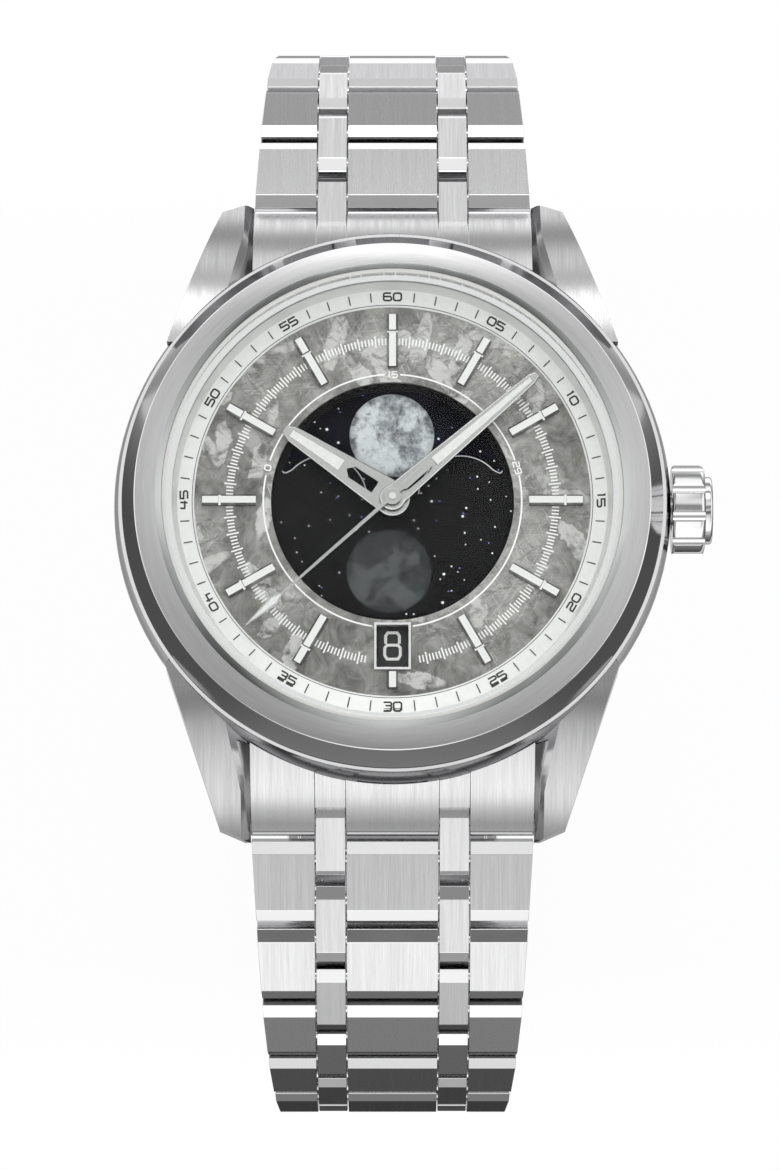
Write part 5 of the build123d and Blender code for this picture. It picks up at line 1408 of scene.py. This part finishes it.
class WATCH_OT_movement(bpy.types.Operator):
    """Finish the movement inside the case."""

    bl_idname = "watch.movement"
    bl_label = "Movement"

    def execute(self, context):
        nickel = plain_metal("nickel_plate", (0.66, 0.64, 0.6), 0.3)
        brass = plain_metal("train_brass", (0.72, 0.55, 0.26), 0.26)
        cell = plain_metal("cell_steel", (0.68, 0.68, 0.68), 0.3)
        copper = drawn_steel("coil_copper", 14.0, 0.4, (0.62, 0.27, 0.12), 0.35, 0.5)
        holder = plain_polymer("holder_white", (0.74, 0.74, 0.72), 0.5)
        finishes = {
            "main_plate": nickel, "train_bridge": nickel, "power_cell": cell, "motor_coil": copper,
            "rotor": cell, "movement_holder": holder,
            "fifth_wheel": brass, "third_wheel": brass, "minute_wheel": brass,
        }
        # The seconds arbor, the cannon pinion and the hour pipe show through the hands.
        for node in ("second_wheel", "centre_wheel", "hour_wheel"):
            finishes[node] = steels()["polished"]
        for node, material in finishes.items():
            refinish(node, material)
        return {"FINISHED"}


class WATCH_OT_stage(bpy.types.Operator):
    """Make the floor, the light and the camera."""

    bl_idname = "watch.stage"
    bl_label = "Stage"

    def execute(self, context):
        stage = settings()[3]
        scene = bpy.context.scene
        low = CAD_BOX[0][2] / MM
        mesh = bpy.data.meshes.new("floor")
        half, near, far = 70, -41, 44
        corners = ((-half, near), (half, near), (half, far), (-half, far))
        mesh.from_pydata([(x * MM, y * MM, low * MM) for x, y in corners], [], [(0, 1, 2, 3)])
        floor = bpy.data.objects.new("floor", mesh)
        scene.collection.objects.link(floor)
        floor.data.materials.append(white_floor("white_floor", tuple(stage.floor)))
        self.world(scene)
        for name, place, size, power in (
            ("key_light", (0.0, 0.36, 0.42), 0.2, 0.3),
            ("fill_light", (0.34, -0.1, 0.36), 0.3, 0.08),
        ):
            lamp = bpy.data.lights.new(name, "AREA")
            lamp.size = size
            lamp.energy = power
            light = bpy.data.objects.new(name, lamp)
            scene.collection.objects.link(light)
            light.location = place
            towards = Vector((0, 0, 0.005)) - Vector(place)
            light.rotation_euler = towards.to_track_quat("-Z", "Y").to_euler()
        camera_data = bpy.data.cameras.new("camera")
        camera = bpy.data.objects.new("camera", camera_data)
        scene.collection.objects.link(camera)
        target = Vector((0, 0, 7.9 * MM))
        away = Vector((0, -math.sin(stage.tilt), math.cos(stage.tilt)))
        camera.location = target + away * stage.distance
        camera.rotation_euler = (-away).to_track_quat("-Z", "Y").to_euler()
        camera_data.sensor_width = SENSOR
        camera_data.sensor_fit = "AUTO"
        camera_data.lens = PIXELS_PER_MM * stage.distance / MM / PHOTO_HIGH * SENSOR
        camera_data.shift_x = -(DIAL_PIXEL[0] - PHOTO_WIDE / 2) / PHOTO_HIGH
        camera_data.shift_y = -(PHOTO_HIGH / 2 - DIAL_PIXEL[1]) / PHOTO_HIGH
        camera_data.clip_start = 0.01
        camera_data.clip_end = 20
        scene.camera = camera
        scene.view_settings.view_transform = "Standard"
        return {"FINISHED"}

    def world(self, scene):
        """The room that the steel mirrors; the camera itself sees plain white."""
        world = bpy.data.worlds.new("studio")
        scene.world = world
        world.use_nodes = True
        tree = world.node_tree
        direction = put(tree, "ShaderNodeTexCoord").outputs["Generated"]
        x, y, z = put(tree, "ShaderNodeSeparateXYZ", {0: direction}).outputs
        azimuth = maths(tree, "ARCTAN2", maths(tree, "SUBTRACT", y, math.sin(settings()[3].tilt)), x)
        diagonal = maths(tree, "ABSOLUTE", maths(tree, "SINE", maths(tree, "MULTIPLY", azimuth, 2.0)))
        high = spread(tree, z, 0.985, 0.88, smooth=True)
        slant = maths(tree, "MULTIPLY", high, spread(tree, z, 0.3, 0.6, smooth=True))
        shade = maths(tree, "MULTIPLY", maths(tree, "POWER", diagonal, 1.3), slant)
        # Front to back: soft boxes near the horizon, a plain ceiling, and a dark room under them.
        # A tone of the ramp is at most 1, so the tones are halved in it and doubled after it.
        lean = maths(tree, "ARCTAN2", maths(tree, "MULTIPLY", y, -1.0), z)
        along = put(tree, "ShaderNodeValToRGB", {0: maths(tree, "MULTIPLY_ADD", lean, 1 / TURN, 0.5)})
        ramp = along.color_ramp
        ramp.interpolation = "LINEAR"
        for degrees, tone in ROOM_TONES:
            stop = ramp.elements.new(degrees / 360 + 0.5)
            stop.color = (tone / 2, tone / 2, tone / 2, 1)
        ramp.elements.remove(ramp.elements[0])
        ramp.elements.remove(ramp.elements[-1])
        front = maths(tree, "MULTIPLY", along.outputs[0], 2.0)
        below = spread(tree, z, -0.42, -0.2, 0.3, 1.0, smooth=True)
        sides = maths(tree, "MULTIPLY", below, spread(tree, z, 0.04, 0.18, 0.35, 1.3, smooth=True))
        aside = spread(tree, maths(tree, "ABSOLUTE", x), 0.45, 0.8, smooth=True)
        level = maths(tree, "MULTIPLY_ADD", aside, maths(tree, "SUBTRACT", sides, front), front)
        level = maths(tree, "MULTIPLY", level, maths(tree, "MULTIPLY_ADD", shade, -0.62, 1.0))
        path = put(tree, "ShaderNodeLightPath").outputs
        seen = maths(tree, "MAXIMUM", path["Is Camera Ray"], path["Is Transmission Ray"])
        mirrored_room = maths(tree, "MULTIPLY", maths(tree, "SUBTRACT", 1.0, seen), level)
        strength = maths(tree, "ADD", mirrored_room, seen)
        feed(tree, tree.nodes["Background"], {"Strength": strength, "Color": (1, 1, 1, 1)})


class WATCH_PT_panel(bpy.types.Panel):
    """Lists the operators and the settings."""

    bl_label = "Watch"
    bl_space_type = "VIEW_3D"
    bl_region_type = "UI"
    bl_category = "Watch"

    def draw(self, context):
        layout = self.layout
        for operator in OPERATORS:
            layout.operator(operator.bl_idname)
        for group in settings():
            box = layout.box()
            for name in group.__annotations__:
                box.prop(group, name)


GROUPS = (CaseSettings, DialSettings, MoonSettings, StageSettings)
OPERATORS = (
    WATCH_OT_case, WATCH_OT_bracelet, WATCH_OT_crystal, WATCH_OT_dial, WATCH_OT_chapter, WATCH_OT_markers,
    WATCH_OT_moons, WATCH_OT_date, WATCH_OT_hands, WATCH_OT_movement, WATCH_OT_stage,
)


def register():
    """Adds the classes, and the settings to each scene."""
    for item in GROUPS + OPERATORS + (WATCH_PT_panel,):
        bpy.utils.register_class(item)
    bpy.types.Scene.watch_case = bpy.props.PointerProperty(type=CaseSettings)
    bpy.types.Scene.watch_dial = bpy.props.PointerProperty(type=DialSettings)
    bpy.types.Scene.watch_moon = bpy.props.PointerProperty(type=MoonSettings)
    bpy.types.Scene.watch_stage = bpy.props.PointerProperty(type=StageSettings)


def unregister():
    """Takes out what register adds."""
    for name in ("watch_case", "watch_dial", "watch_moon", "watch_stage"):
        delattr(bpy.types.Scene, name)
    for item in reversed(GROUPS + OPERATORS + (WATCH_PT_panel,)):
        bpy.utils.unregister_class(item)


def main():
    """Makes every piece and the stage."""
    register()
    bpy.ops.watch.case_finish()
    bpy.ops.watch.bracelet_finish()
    bpy.ops.watch.crystal()
    bpy.ops.watch.dial()
    bpy.ops.watch.chapter_ring()
    bpy.ops.watch.hour_markers()
    bpy.ops.watch.moon_display()
    bpy.ops.watch.date_ring()
    bpy.ops.watch.hands()
    bpy.ops.watch.movement()
    bpy.ops.watch.stage()


if __name__ == "__main__":
    main()
